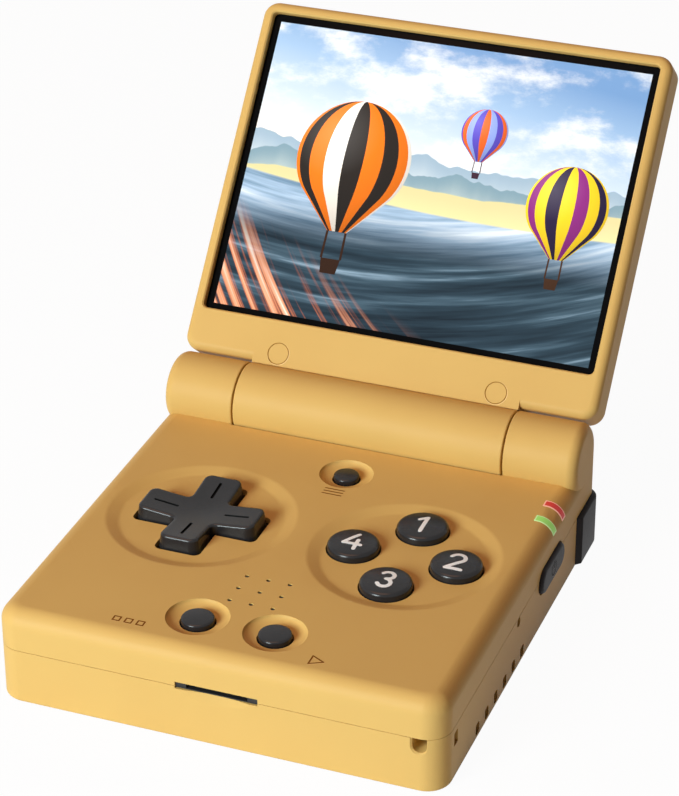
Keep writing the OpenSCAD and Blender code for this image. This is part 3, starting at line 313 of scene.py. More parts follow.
def lens_plastic(node, code, pale):
    """Tinted clear plastic of a light pipe, paler all round where its edges catch the light."""
    edge_w = 0.24
    low, high = box_mm(node)
    g = new_material(node + "_lens")
    x, y, z = g.split(g.place())
    off_middle = g.math("ABSOLUTE", g.math("SUBTRACT", y, (low.y + high.y) / 2))
    sides = g.math("GREATER_THAN", off_middle, (high.y - low.y) / 2 - edge_w)
    inner_end = g.math("LESS_THAN", x, low.x + edge_w)
    lower_end = g.math("LESS_THAN", z, low.z + edge_w)
    edge = g.math("MAXIMUM", sides, g.math("MAXIMUM", inner_end, lower_end))
    colour = g.mix(edge, rgb(code), rgb(pale))
    return g.shade(base_color=colour, roughness=0.3, specular_ior_level=0.15,
                   emission_color=colour, emission_strength=0.28)


def black_glass():
    """Glossy black border printed under the cover glass."""
    g = new_material("black_glass")
    colour = g.blotches(g.place(), rgb("050506"), rgb("070708"), scale=0.3, detail=2.0)
    return g.shade(base_color=colour, roughness=0.12, specular_ior_level=0.05)


# Picture on the screen: a made-up river valley with balloons


def lid_parts(g):
    """Distances across the lid and out from the hinge axis, in millimetres, inside a graph."""
    place = g.place()
    return g.split(place)[0], g.along(place, LID_U, HINGE.dot(LID_U))


def lit(g, colour):
    """The shader of something that the panel shows."""
    return g.shade(base_color=colour, roughness=0.12, specular_ior_level=0.15,
                   emission_color=colour, emission_strength=0.32)


def paint_sky(g, across, rise):
    """Sky from cream at the horizon to blue at the top, with drawn-out clouds."""
    tilt = 0.10
    cloud_pace, cloud_layers, cloud_seed = 1.5, 4.0, 3.1
    cloud_cover = 0.85
    height = g.math("ADD", rise, g.math("MULTIPLY", across, tilt))
    sky = g.ramp(height, shades((0.50, "EFE9DF"), (0.66, "CBDAE9"), (0.84, "9CBBDC"), (1.05, "7299C8")))
    drift = g.math("MULTIPLY", across, cloud_pace)
    layers = g.math("MULTIPLY", rise, cloud_layers)
    puffs = g.noise(g.join(drift, layers, cloud_seed), scale=1.3, detail=6.0, rough=0.62)
    cover = g.math("MULTIPLY", g.step(puffs, low=0.44, high=0.64), cloud_cover)
    return g.mix(cover, sky, rgb("EEF0F0"))


def paint_ridge(g, picture, across, rise, level, swing, pace, seed, top, foot):
    """A line of hills in front of the picture so far, hazier towards its foot."""
    haze, edge, noise_middle = 0.12, 0.002, 0.5
    shift = g.math("ADD", g.math("MULTIPLY", across, pace), seed)
    wave = g.math("SUBTRACT", g.noise(shift, scale=1.0, detail=4.0, dims="1D"), noise_middle)
    crest = g.math("ADD", g.math("MULTIPLY", wave, swing), level)
    below = g.math("SUBTRACT", crest, rise)
    colour = g.mix(g.step(below, 0.0, haze), rgb(top), rgb(foot))
    return g.mix(g.step(below, -edge, edge), picture, colour)


def paint_streaks(g, across, rise, centre, stretch, seed):
    """Noise drawn out along arcs round a far centre."""
    dx = g.math("SUBTRACT", across, centre[0])
    dy = g.math("SUBTRACT", rise, centre[1])
    turn = g.math("MULTIPLY", g.math("ARCTAN2", dy, dx), stretch[0])
    reach = g.math("MULTIPLY", g.length(dx, dy), stretch[1])
    return g.noise(g.join(turn, reach, seed), scale=1.0, detail=4.0, rough=0.55)


def paint_water(g, across, rise):
    """A dark river that sweeps round, with pale lights far off and warm ones close by."""
    corner_slant, corner_rise = -0.34, 0.02
    waves = paint_streaks(g, across, rise, centre=(-0.4, 5.5), stretch=(5.0, 26.0), seed=1.7)
    dark = g.ramp(waves, shades((0.32, "17242E"), (0.50, "2B3E4B"), (0.62, "455C6B"), (0.76, "8CA6BA")))
    pale = g.ramp(waves, shades((0.36, "6E8CA6"), (0.52, "A3BDD6"), (0.68, "DCE7F1")))
    water = g.mix(g.step(rise, low=0.25, high=0.42), dark, pale)
    glints = paint_streaks(g, across, rise, centre=(0.9, 1.9), stretch=(1.4, 34.0), seed=8.3)
    warm = g.ramp(glints, shades((0.42, "57302A"), (0.52, "C56A40"), (0.62, "E9A37E"), (0.72, "F4DDCC")))
    slanted = g.math("MULTIPLY", across, corner_slant)
    corner = g.math("SUBTRACT", slanted, g.math("SUBTRACT", rise, corner_rise))
    near = g.math("MULTIPLY", g.step(corner, low=-0.04, high=0.22), g.step(glints, low=0.46, high=0.60))
    return g.mix(near, water, warm)


def picture_paint():
    """Everything of the picture but its balloons. Across runs from -1 to 1 and rise from 0 to 1."""
    shore_rise, shore_curve, shore_slant, shore_edge = 0.42, 0.03, 0.03, 0.004
    g = new_material("screen_picture")
    x, u = lid_parts(g)
    across = g.math("DIVIDE", x, PICTURE_HALF)
    rise = g.math("DIVIDE", g.math("SUBTRACT", u, PICTURE_LOW), PICTURE_HEIGHT)
    picture = paint_sky(g, across, rise)
    picture = paint_ridge(g, picture, across, rise, level=0.60, swing=0.26, pace=1.3, seed=2.0,
                          top="9AB2C4", foot="C7D4DC")
    picture = paint_ridge(g, picture, across, rise, level=0.545, swing=0.16, pace=2.1, seed=9.4,
                          top="7F9CAA", foot="B9C8C6")
    picture = paint_ridge(g, picture, across, rise, level=0.50, swing=0.05, pace=1.6, seed=5.2,
                          top="D9CF9A", foot="E9E0A6")
    curve = g.math("MULTIPLY", g.math("MULTIPLY", across, across), shore_curve)
    shore = g.math("SUBTRACT", g.math("ADD", shore_rise, curve), g.math("MULTIPLY", across, shore_slant))
    below = g.math("SUBTRACT", shore, rise)
    water = paint_water(g, across, rise)
    return lit(g, g.mix(g.step(below, -shore_edge, shore_edge), picture, water))


def balloon_paint(name, code, centre, radius):
    """One colour of a balloon, lit from its upper left."""
    lit_spot, reach = 0.4, 2.2
    brighter, lifted, darker = 1.25, 0.06, 0.35
    g = new_material(name)
    x, u = lid_parts(g)
    dx = g.math("DIVIDE", g.math("SUBTRACT", x, centre[0] - lit_spot * radius), radius)
    du = g.math("DIVIDE", g.math("SUBTRACT", u, centre[1] + lit_spot * radius), radius)
    base = rgb(code)
    light = tuple(min(1.0, c * brighter + lifted) for c in base)
    shade = tuple(c * darker for c in base)
    away = g.math("DIVIDE", g.length(dx, du), reach)
    return lit(g, g.ramp(away, [(0.0, light), (0.35, base), (1.0, shade)]))


# Meshes


def show_mesh(name, mesh, material, smooth):
    """A shown object of a mesh, shaded smooth where its faces meet at less than an angle."""
    obj = bpy.data.objects.new(name, mesh)
    bpy.context.scene.collection.objects.link(obj)
    mesh.materials.append(material)
    mesh.polygons.foreach_set("use_smooth", [True] * len(mesh.polygons))
    mesh.set_sharp_from_angle(angle=math.radians(smooth))
    return obj


def add_object(name, verts, faces, material, smooth=35):
    """A mesh object from points in millimetres."""
    mesh = bpy.data.meshes.new(name)
    mesh.from_pydata([Vector(v) * MM for v in verts], [], faces)
    mesh.validate()
    mesh.update()
    return show_mesh(name, mesh, material, smooth)


def touching_vertices(mesh):
    """One group number for each vertex, shared by vertices at the same place."""
    reach = 2e-6
    tree = KDTree(len(mesh.vertices))
    for vertex in mesh.vertices:
        tree.insert(vertex.co, vertex.index)
    tree.balance()
    group = np.full(len(mesh.vertices), -1)
    for vertex in mesh.vertices:
        if group[vertex.index] < 0:
            for _, index, _ in tree.find_range(vertex.co, reach):
                group[index] = vertex.index
    return group


def fetch(items, attribute, width=1, kind=float):
    """One attribute of a mesh's items, as an array."""
    values = np.empty(len(items) * width, dtype=kind)
    items.foreach_get(attribute, values)
    return values


def soften(obj):
    """Gives a CAD mesh's fillets soft shading. Only its normals change."""
    limit, shortest = 38, 1e-12
    mesh = obj.data
    mesh.polygons.foreach_set("use_smooth", [True] * len(mesh.polygons))
    flats = fetch(mesh.polygons, "normal", width=3).reshape(-1, 3)
    areas = fetch(mesh.polygons, "area")
    owner = np.repeat(np.arange(len(mesh.polygons)), fetch(mesh.polygons, "loop_total", kind=int))
    group = touching_vertices(mesh)[fetch(mesh.loops, "vertex_index", kind=int)]
    order = np.argsort(group, kind="stable")
    starts = np.flatnonzero(np.diff(group[order], prepend=-1))
    ends = np.append(starts[1:], len(order))
    normals = flats[owner].copy()
    least = math.cos(math.radians(limit))
    for start, end in zip(starts, ends):
        loops = order[start:end]
        near = flats[owner[loops]]
        close = (near @ near.T) > least
        normals[loops] = close @ (near * areas[owner[loops]][:, None])
    lengths = np.linalg.norm(normals, axis=1)
    bad = lengths < shortest
    normals[bad] = flats[owner[bad]]
    lengths[bad] = 1
    mesh.normals_split_custom_set(normals / lengths[:, None])


def lathe(name, profile, centre, material):
    """A turned piece: (radius, height) points spun round an upright axis."""
    segments = 96
    verts, faces = [], []
    rows = len(profile)
    for i in range(segments):
        a = 2 * math.pi * i / segments
        for r, z in profile:
            verts.append((centre[0] + r * math.cos(a), centre[1] + r * math.sin(a), z))
    for i in range(segments):
        j = (i + 1) % segments
        for k in range(rows - 1):
            faces.append((i * rows + k, j * rows + k, j * rows + k + 1, i * rows + k + 1))
    faces.append([i * rows + rows - 1 for i in range(segments)])
    faces.append([i * rows for i in reversed(range(segments))])
    return add_object(name, verts, faces, material)


def arc(centre_a, centre_b, radius, start, end, steps):
    """Points along an arc in a plane, angles in degrees."""
    out = []
    for i in range(steps + 1):
        a = math.radians(start + (end - start) * i / steps)
        out.append((centre_a + radius * math.cos(a), centre_b + radius * math.sin(a)))
    return out


# Clipped sheets


class Feature:
    """One edge of a clipped sheet: its signed distance, the rim's profile and whether it has a floor."""

    def __init__(self, distance, rim, floor=False):
        self.distance = distance
        self.rim = rim
        self.floor = floor


def slope_of(distance, x, y):
    """Direction in which a distance grows."""
    step, tiny = 0.01, 1e-12
    dx = distance(x + step, y) - distance(x - step, y)
    dy = distance(x, y + step) - distance(x, y - step)
    size = np.hypot(dx, dy) + tiny
    return dx / size, dy / size


def fillet_rim(radius, depth, draft):
    """(shift, drop) pairs of a rounded edge and the wall under it."""
    steps = 5
    rim = []
    for i in range(1, steps + 1):
        a = math.pi / 2 * i / steps
        rim.append((radius * math.sin(a), radius * (1 - math.cos(a))))
    rim.append((radius + draft, depth))
    return rim


def snapped_grid(spans, step, total):
    """Grid points over a rectangle with their distances, those close to the cut moved onto it."""
    snap = 0.3
    xs = np.arange(spans[0], spans[1] + step / 2, step)
    ys = np.arange(spans[2], spans[3] + step / 2, step)
    grid_x, grid_y = np.meshgrid(xs, ys, indexing="ij")
    value = total(grid_x, grid_y)
    near = np.abs(value) < snap * step
    nx, ny = slope_of(total, grid_x, grid_y)
    grid_x = np.where(near, grid_x - value * nx, grid_x)
    grid_y = np.where(near, grid_y - value * ny, grid_y)
    return grid_x, grid_y, np.where(near, 0.0, total(grid_x, grid_y))


class CutGrid:
    """A grid of square cells, cut off where a distance falls below zero."""

    def __init__(self, spans, step, total):
        self.total = total
        self.x, self.y, self.value = snapped_grid(spans, step, total)
        self.kept = {}
        self.crossings = {}
        self.points = []
        self.faces = []
        columns, rows = self.value.shape
        for i in range(columns - 1):
            for j in range(rows - 1):
                self.add_cell([(i, j), (i + 1, j), (i + 1, j + 1), (i, j + 1)])

    def keep(self, p):
        """Number of a grid point. A point holds its place and whether it lies on the cut."""
        if p not in self.kept:
            self.kept[p] = len(self.points)
            self.points.append((self.x[p], self.y[p], self.value[p] == 0))
        return self.kept[p]

    def cross(self, p, q):
        """Number of the point where the cut passes between two grid points."""
        nudges = 3
        key = (min(p, q), max(p, q))
        if key not in self.crossings:
            t = self.value[p] / (self.value[p] - self.value[q])
            x = self.x[p] + t * (self.x[q] - self.x[p])
            y = self.y[p] + t * (self.y[q] - self.y[p])
            for _ in range(nudges):
                gx, gy = slope_of(self.total, x, y)
                d = self.total(x, y)
                x, y = x - d * gx, y - d * gy
            self.crossings[key] = len(self.points)
            self.points.append((x, y, True))
        return self.crossings[key]

    def add_cell(self, ring):
        """The face that the cut leaves of a cell."""
        if max(self.value[p] for p in ring) <= 0:
            return
        shape = []
        for p, q in zip(ring, ring[1:] + ring[:1]):
            if self.value[p] >= 0:
                shape.append(self.keep(p))
            if self.value[p] * self.value[q] < 0:
                shape.append(self.cross(p, q))
        if len(shape) > 2:
            self.faces.append(shape)


def clipped_sheet(name, spans, step, features, top, material):
    """A surface z = top(x, y) over a grid, cut along each feature and given its rim there."""

    def total(x, y):
        return np.minimum.reduce([f.distance(x, y) for f in features])

    grid = CutGrid(spans, step, total)
    flat = np.array([point[:2] for point in grid.points])
    heights = top(flat[:, 0], flat[:, 1])
    points = [(x, y, z) for (x, y), z in zip(flat, heights)]
    on_cut = [point[2] for point in grid.points]
    following = add_rims(points, grid.faces, features, on_cut)
    add_floors(grid.faces, following)
    return add_object(name, points, grid.faces, material, smooth=38)


def cut_edges(faces, on_cut):
    """Open edges of the faces that lie on the cut."""
    used = {(a, b): None for face in faces for a, b in zip(face, face[1:] + face[:1])}
    return [(a, b) for a, b in used if (b, a) not in used and on_cut[a] and on_cut[b]]


def add_rims(points, faces, features, on_cut):
    """Hangs each feature's rim from the cut. Gives the lower edges of those with a floor."""
    following = {}
    rings = {}

    def ring(vertex, feature):
        if vertex not in rings:
            x, y, z = points[vertex]
            gx, gy = slope_of(feature.distance, x, y)
            rings[vertex] = [vertex]
            for shift, drop in feature.rim:
                rings[vertex].append(len(points))
                points.append((x - gx * shift, y - gy * shift, z - drop))
        return rings[vertex]

    for a, b in cut_edges(faces, on_cut):
        x = (points[a][0] + points[b][0]) / 2
        y = (points[a][1] + points[b][1]) / 2
        feature = min(features, key=lambda f: abs(f.distance(x, y)))
        one, two = ring(a, feature), ring(b, feature)
        for k in range(len(feature.rim)):
            faces.append([two[k], one[k], one[k + 1], two[k + 1]])
        if feature.floor:
            following[one[-1]] = two[-1]
    return following


def add_floors(faces, following):
    """Closes each loop of lower edges with a face."""
    while following:
        start, here = following.popitem()
        loop = [start]
        while here != start and here in following:
            loop.append(here)
            here = following.pop(here)
        if len(loop) > 2:
            faces.append(loop)


def rounded_box(x, y, half_x, half_y, radius):
    """Signed distance outside a rectangle with round corners."""
    dx = np.abs(x) - half_x + radius
    dy = np.abs(y) - half_y + radius
    outside = np.hypot(np.maximum(dx, 0), np.maximum(dy, 0))
    return outside + np.minimum(np.maximum(dx, dy), 0) - radius


def capsule(x, y, start, end, radius):
    """Signed distance outside a line with round ends."""
    ax, ay = start
    bx, by = end
    span = (bx - ax) ** 2 + (by - ay) ** 2
    t = np.clip(((x - ax) * (bx - ax) + (y - ay) * (by - ay)) / span, 0, 1)
    return np.hypot(x - ax - t * (bx - ax), y - ay - t * (by - ay)) - radius


def blended(one, two, reach):
    """The nearer of two signed distances, with a fillet of that reach where they meet."""
    share = np.clip(0.5 + 0.5 * (two - one) / reach, 0, 1)
    return two + (one - two) * share - reach * share * (1 - share)


def finish_piece(obj, body, slot, *nodes):
    """Puts a new piece on its body and hides the nodes that it stands for; the slot argument is not used."""
    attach(obj, body)
    if nodes:
        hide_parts(*nodes)


# Direction pad

PAD_HALF = 11.6


def pad_grooves():
    """A short groove on each arm of the pad."""
    inner_end, outer_end, radius = 4.7, 9.0, 0.28
    rim = [(0.04, 0.06), (0.07, 0.38)]
    grooves = []
    for dx, dy in ((1, 0), (0, 1), (-1, 0), (0, -1)):
        start = (PAD_AT.x + inner_end * dx, PAD_AT.y + inner_end * dy)
        end = (PAD_AT.x + outer_end * dx, PAD_AT.y + outer_end * dy)
        grooves.append(Feature(lambda x, y, a=start, b=end: capsule(x, y, a, b, radius), rim, floor=True))
    return grooves


def make_direction_pad(material):
    """Direction pad with rounded, drafted arms, a dished middle and a groove on each arm, whose faces are
    near-black as painted shade.
    """
    arm, corner, inner_fillet = 4.0, 1.9, 1.8
    inset, edge, wall = 0.85, 0.5, 3.2
    tip = DECK + 1.62
    dip, blend = 0.125, 3.0
    sheet_step = 0.25

    def cross(x, y):
        one = rounded_box(x - PAD_AT.x, y - PAD_AT.y, PAD_HALF, arm, corner)
        two = rounded_box(x - PAD_AT.x, y - PAD_AT.y, arm, PAD_HALF, corner)
        return blended(one, two, inner_fillet)

    def top(x, y):
        r = np.hypot(x - PAD_AT.x, y - PAD_AT.y)
        rise = np.hypot(r, blend) - math.hypot(PAD_HALF - inset, blend)
        return tip + dip * rise

    outline = Feature(lambda x, y: -cross(x, y) - inset, fillet_rim(edge, wall, inset - edge))
    grooves = pad_grooves()
    spans = (PAD_AT.x - PAD_HALF, PAD_AT.x + PAD_HALF, PAD_AT.y - PAD_HALF, PAD_AT.y + PAD_HALF)
    pad = clipped_sheet("direction_pad_cap", spans, sheet_step, [outline] + grooves, top, material)
    # Faces inside each groove get a near-black colour: painted shade in the grooves.
    pad.data.materials.append(print_and_painted_light("pad_grooves", "040404"))
    for face in pad.data.polygons:
        x, y, _ = face.center / MM
        if min(groove.distance(x, y) for groove in grooves) < 0:
            face.material_index = 1
    finish_piece(pad, "direction_pad", "keys", "direction_pad")


# Round keys

FACE_KEYS = ("button_north", "button_east", "button_south", "button_west")
SMALL_KEYS = {"menu_button": 2.4, "select_button": 2.95, "start_button": 2.95}


def round_cap(node, material, radius, shoulder, crown):
    """A turned key cap with a soft shoulder, down to its flange. Gives the radius of its low crown."""
    flange_low, flange_high = 0.15, 1.05
    shoulder_turn, shoulder_steps = 82, 8
    crown_steps, crown_parts = 10, 10.5
    low, high = box_mm(node)
    centre = (low + high) / 2
    flange = high.x - centre.x
    shoulder_z = high.z - crown - shoulder
    ball = ((radius - shoulder) ** 2 + crown ** 2) / (2 * crown)
    profile = [(flange, low.z + flange_low), (flange, low.z + flange_high),
               (radius, low.z + flange_high), (radius, shoulder_z)]
    profile += arc(radius - shoulder, shoulder_z, shoulder, 0, shoulder_turn, shoulder_steps)[1:]
    for i in range(crown_steps, 0, -1):
        r = (radius - shoulder) * i / crown_parts
        profile.append((r, high.z - ball + math.sqrt(ball * ball - r * r)))
    cap = lathe(node + "_cap", profile, (centre.x, centre.y), material)
    finish_piece(cap, node, "keys", node)
    return ball


def number_strokes(number):
    """The strokes of a number 1 to 4, as runs of points round its middle."""
    half = 2.3
    if number == 1:
        return [[(-1.0, 1.25), (0.25, half), (0.25, -half)]]
    if number == 2:
        return [arc(0, 1.0, 1.3, 165, -32, 10) + [(-1.4, -half), (1.45, -half)]]
    if number == 3:
        return [arc(0, 1.18, 1.12, 155, -90, 10), arc(0, -1.12, 1.18, 90, -155, 10)]
    return [[(0.35, half), (-1.6, -0.9), (1.6, -0.9)], [(0.8, 0.5), (0.8, -half)]]


def strokes_distance(strokes, radius):
    """Signed distance outside drawn strokes of that radius."""
    runs = [(a, b) for stroke in strokes for a, b in zip(stroke, stroke[1:])]

    def distance(x, y):
        return np.minimum.reduce([capsule(x, y, a, b, radius) for a, b in runs])

    return distance


def number_on_cap(node, number, material, ball):
    """A printed number on a key's crown."""
    stroke_r, sheet_step, lift, print_t = 0.37, 0.12, 0.025, 0.04
    half_w, half_h = 2.6, 2.9
    low, high = box_mm(node)
    centre = (low + high) / 2
    shape = strokes_distance(number_strokes(number), stroke_r)

    def top(x, y):
        r = np.hypot(x - centre.x, y - centre.y)
        return high.z - ball + np.sqrt(ball * ball - r * r) + lift

    outline = Feature(lambda x, y: -shape(x - centre.x, y - centre.y), [(0.0, print_t)], floor=True)
    spans = (centre.x - half_w, centre.x + half_w, centre.y - half_h, centre.y + half_h)
    piece = clipped_sheet(node + "_number", spans, sheet_step, [outline], top, material)
    finish_piece(piece, node, "keys")


def make_round_keys(material):
    """Caps of the four face keys with their numbers, and of the three small keys."""
    white = print_and_painted_light("white_print", "F4FCFF")
    for number, node in enumerate(FACE_KEYS, start=1):
        ball = round_cap(node, material, radius=4.7, shoulder=0.75, crown=0.25)
        number_on_cap(node, number, white, ball)
    for node, radius in SMALL_KEYS.items():
        round_cap(node, material, radius, shoulder=0.45, crown=0.12)


# Small marks, each a dark stroke beside a pale one that is a painted highlight on its lit edge; the dark strokes
# in the deck's cut marks and the covers' grooves are painted shade

MENU_MARK = (0.0, 13.4)
SELECT_MARK = (-17.6, -38.1)
START_MARK = (16.6, -38.1)


def flat_strokes(name, strokes, radius, lift_step, to_space, material):
    """Flat strokes with round ends, each a hair above the one before."""
    end_steps = 8
    verts, faces = [], []
    for stroke in strokes:
        for (ax, ay), (bx, by) in zip(stroke, stroke[1:]):
            turn = math.degrees(math.atan2(by - ay, bx - ax))
            ring = arc(ax, ay, radius, turn + 90, turn + 270, end_steps)
            ring += arc(bx, by, radius, turn - 90, turn + 90, end_steps)
            faces.append(list(range(len(verts), len(verts) + len(ring))))
            verts += [to_space(x, y, len(faces) * lift_step) for x, y in ring]
    return add_object(name, verts, faces, material)


def deck_marks():
    """Pictograms by the three small buttons: bars, squares and a triangle."""
    bar_half, bar_gap = 1.8, 0.9
    square_half, square_gap = 0.6, 2.2
    back, tip, half = 1.0, 1.3, 1.2
    x, y = MENU_MARK
    bars = [[(x - bar_half, y + d), (x + bar_half, y + d)] for d in (-bar_gap, 0, bar_gap)]
    x, y = SELECT_MARK
    corners = [(-1, -1), (1, -1), (1, 1), (-1, 1), (-1, -1)]
    squares = [[(x + d + a * square_half, y + b * square_half) for a, b in corners]
               for d in (-square_gap, 0, square_gap)]
    x, y = START_MARK
    triangle = [(x - back, y - half), (x + tip, y), (x - back, y + half), (x - back, y - half)]
    return bars + squares + [triangle]


def make_deck_marks():
    """Shallow pictograms on the deck: dark strokes of painted shade for the cut-in marks, with pale strokes set
    off beside them as painted highlights on their lit edges.
    """
    stroke_r, lift_step = 0.15, 0.0004
    for name, paint, code, shift, lift in (("deck_marks_painted_highlight", "mark_painted_highlight", "EFC780", 0.07, 0.006),
                                           ("deck_marks", "mark_painted_shade", "7A4A10", 0.0, 0.018)):
        mark = flat_strokes(name, deck_marks(), stroke_r, lift_step,
                            lambda x, y, step, d=shift, up=lift: (x + d, y - d, DECK + up + step),
                            print_and_painted_light(paint, code))
        finish_piece(mark, "base", "shell")


def make_cover_grooves():
    """Fine grooves round the lid's two screw covers, drawn flat: a dark ring of painted shade in each groove and a
    pale ring set off beside it as a painted highlight on its edge.
    """
    stroke_r, lift_step, ring_steps = 0.08, 0.00004, 48
    low, high = lid_extent("screw_covers")
    radius = (high.y - low.y) / 2
    across = high.x - radius
    u = (low.y + high.y) / 2
    for name, gap, shift, lift, code in (("cover_edge_painted_highlight", 0.16, 0.07, 0.008, "EDCB8C"),
                                         ("cover_groove_painted_shade", 0.07, 0.0, 0.016, "9A6A22")):
        rings = [arc(x + shift, u - shift, radius + gap, 0, 360, ring_steps) for x in (-across, across)]
        ring = flat_strokes(name, rings, stroke_r, lift_step,
                            lambda x, v, step, up=lift: on_lid(x, v, LID_FACE + up + step),
                            print_and_painted_light(name, code))
        finish_piece(ring, "lid", "shell")


def make_power_mark():
    """Power sign on the power button's face: a broken ring and a bar, with a grey copy set off beside it as a
    painted highlight on its edge.
    """
    stroke_r, lift_step, ring_steps = 0.2, 0.00004, 24
    ring_r, ring_from, ring_to = 1.25, 125, 415
    bar_low, bar_high = 0.15, 1.5
    low, high = box_mm("power_button")
    middle = (low + high) / 2
    strokes = [arc(0, 0, ring_r, ring_from, ring_to, ring_steps), [(0, bar_low), (0, bar_high)]]
    for name, code, shift, lift in (("power_mark_painted_highlight", "A19FA4", 0.12, 0.006),
                                    ("power_mark", "030303", 0.0, 0.020)):
        mark = flat_strokes(name, strokes, stroke_r, lift_step,
                            lambda a, b, step, d=shift, up=lift: (high.x + up + step, middle.y + a + d,
                                                                  middle.z + b - d),
                            print_and_painted_light(name, code))
        finish_piece(mark, "power_button", "keys")


# Speaker

GRILLE_AT = (0.0, -22.15)
GRILLE_STEP = 4.0
GRILLE_R = 0.42


def make_grille_hole_shade(material):
    """Black discs set a little below the deck in each hole of the speaker's grille: painted shade for the dark
    inside of the holes.
    """
    gap, below, thick, segments = 0.01, 0.22, 0.1, 24
    verts, faces = [], []
    for i in (-1, 0, 1):
        for j in (-1, 0, 1):
            x, y = GRILLE_AT[0] + i * GRILLE_STEP, GRILLE_AT[1] + j * GRILLE_STEP
            ring = arc(x, y, GRILLE_R - gap, 0, 360 - 360 / segments, segments - 1)
            start = len(verts)
            verts += [(a, b, DECK - below) for a, b in ring]
            verts += [(a, b, DECK - below - thick) for a, b in ring]
            faces.append(list(range(start, start + segments)))
            faces.append(list(range(start + 2 * segments - 1, start + segments - 1, -1)))
            for k in range(segments):
                m = (k + 1) % segments
                faces.append((start + m, start + k, start + segments + k, start + segments + m))
    finish_piece(add_object("grille_hole_painted_shade", verts, faces, material), "base", "dark_parts")


# Shoulder buttons


def prism(name, outline, low, high, bevel, material):
    """An upright prism with rounded edges over a flat outline."""
    bevel_steps, flat = 4, 1e-9
    work = bmesh.new()
    base = [work.verts.new(Vector((x, y, low)) * MM) for x, y in outline]
    floor = work.faces.new(base[::-1])
    lifted = bmesh.ops.extrude_face_region(work, geom=[floor])["geom"]
    for vertex in [g for g in lifted if isinstance(g, bmesh.types.BMVert)]:
        vertex.co.z = high * MM
    work.faces.ensure_lookup_table()
    bmesh.ops.recalc_face_normals(work, faces=work.faces)
    rims = [e for e in work.edges if abs(e.verts[0].co.z - e.verts[1].co.z) < flat]
    bmesh.ops.bevel(work, geom=rims, offset=bevel * MM, segments=bevel_steps, profile=0.5, affect="EDGES",
                    clamp_overlap=True)
    mesh = bpy.data.meshes.new(name)
    work.to_mesh(mesh)
    work.free()
    return show_mesh(name, mesh, material, smooth=32)


def make_shoulder(node, side, material):
    """Shoulder button that wraps a rear corner, with a slanting front edge."""
    thick, corner, corner_steps, slant, bevel = 2.8, 3.0, 12, 1.1, 0.45
    low, high = box_mm(node)
    out_x = max(abs(low.x), abs(high.x))
    in_x = min(abs(low.x), abs(high.x))
    outline = [(out_x - thick, low.y), (out_x - slant, low.y), (out_x, low.y + slant)]
    outline += arc(out_x - corner, high.y - corner, corner, 0, 90, corner_steps)
    outline += [(in_x, high.y), (in_x, high.y - thick), (out_x - thick, high.y - thick)]
    if side < 0:
        outline = [(-x, y) for x, y in reversed(outline)]
    cap = prism(node + "_cap", outline, low.z, high.z, bevel, material)
    finish_piece(cap, node, "keys", node)


# Screen

BALLOON_MOUTH = (0.17, -1.28)


def make_picture():
    """The lit picture, a sheet just over the black glass."""
    over_glass = 0.02
    columns, rows = 24, 18
    verts, faces = [], []
    for j in range(rows + 1):
        for i in range(columns + 1):
            x = -PICTURE_HALF + 2 * PICTURE_HALF * i / columns
            u = PICTURE_LOW + PICTURE_HEIGHT * j / rows
            verts.append(on_lid(x, u, GLASS_N + over_glass))
    for j in range(rows):
        for i in range(columns):
            k = j * (columns + 1) + i
            faces.append((k, k + 1, k + columns + 2, k + columns + 1))
    sheet = add_object("screen_picture", verts, faces, picture_paint())
    finish_piece(sheet, "lid", "panel")


def balloon_stripes(radius, colours):
    """Points, faces and colour numbers of a balloon's gores, round its middle."""
    gores, shoulder_turn, steps = 9, -38, 22
    outline = [(BALLOON_MOUTH[0] * radius, BALLOON_MOUTH[1] * radius)]
    outline += arc(0, 0, radius, shoulder_turn, 90, steps)
    count = len(outline)
    points, faces, slots = [], [], []
    for k in range(gores + 1):
        share = math.sin(math.radians(-90 + 180 * k / gores))
        points += [(half * share, height) for half, height in outline]
    for k in range(gores):
        for i in range(count - 1):
            a = k * count + i
            faces.append((a, a + count, a + count + 1, a + 1))
            slots.append(k % colours)
    return points, faces, slots


def balloon_basket(radius):
    """Outlines of a balloon's basket and two ropes, round the balloon's middle."""
    half, drop, rope = 0.17 * radius, 1.75 * radius, 0.02 * radius
    floor_share, height_share, rope_share = 0.8, 1.5, 0.95
    floor_half, floor_z = half * floor_share, -drop - half * height_share
    mouth = BALLOON_MOUTH[1] * radius
    shapes = [[(-floor_half, floor_z), (floor_half, floor_z), (half, -drop), (-half, -drop)]]
    for sign in (-1, 1):
        low, high = sign * half, sign * half * rope_share
        shapes.append([(low - rope, -drop), (low + rope, -drop), (high + rope, mouth), (high - rope, mouth)])
    return shapes


def make_balloon(name, centre, radius, codes, basket):
    """A striped balloon of the picture with its basket and ropes."""
    over_picture = 0.035
    points, faces, slots = balloon_stripes(radius, len(codes))
    for shape in balloon_basket(radius):
        faces.append(tuple(range(len(points), len(points) + len(shape))))
        slots.append(len(codes))
        points += shape
    verts = [on_lid(centre[0] + a, centre[1] + b, GLASS_N + over_picture) for a, b in points]
    paints = [balloon_paint(f"{name}_{i}", code, centre, radius) for i, code in enumerate(codes)]
    paints.append(balloon_paint(name + "_basket", basket, centre, radius * 2))
    balloon = add_object(name, verts, faces, paints[0])
    for paint in paints[1:]:
        balloon.data.materials.append(paint)
    balloon.data.polygons.foreach_set("material_index", slots)
    finish_piece(balloon, "lid", "panel")


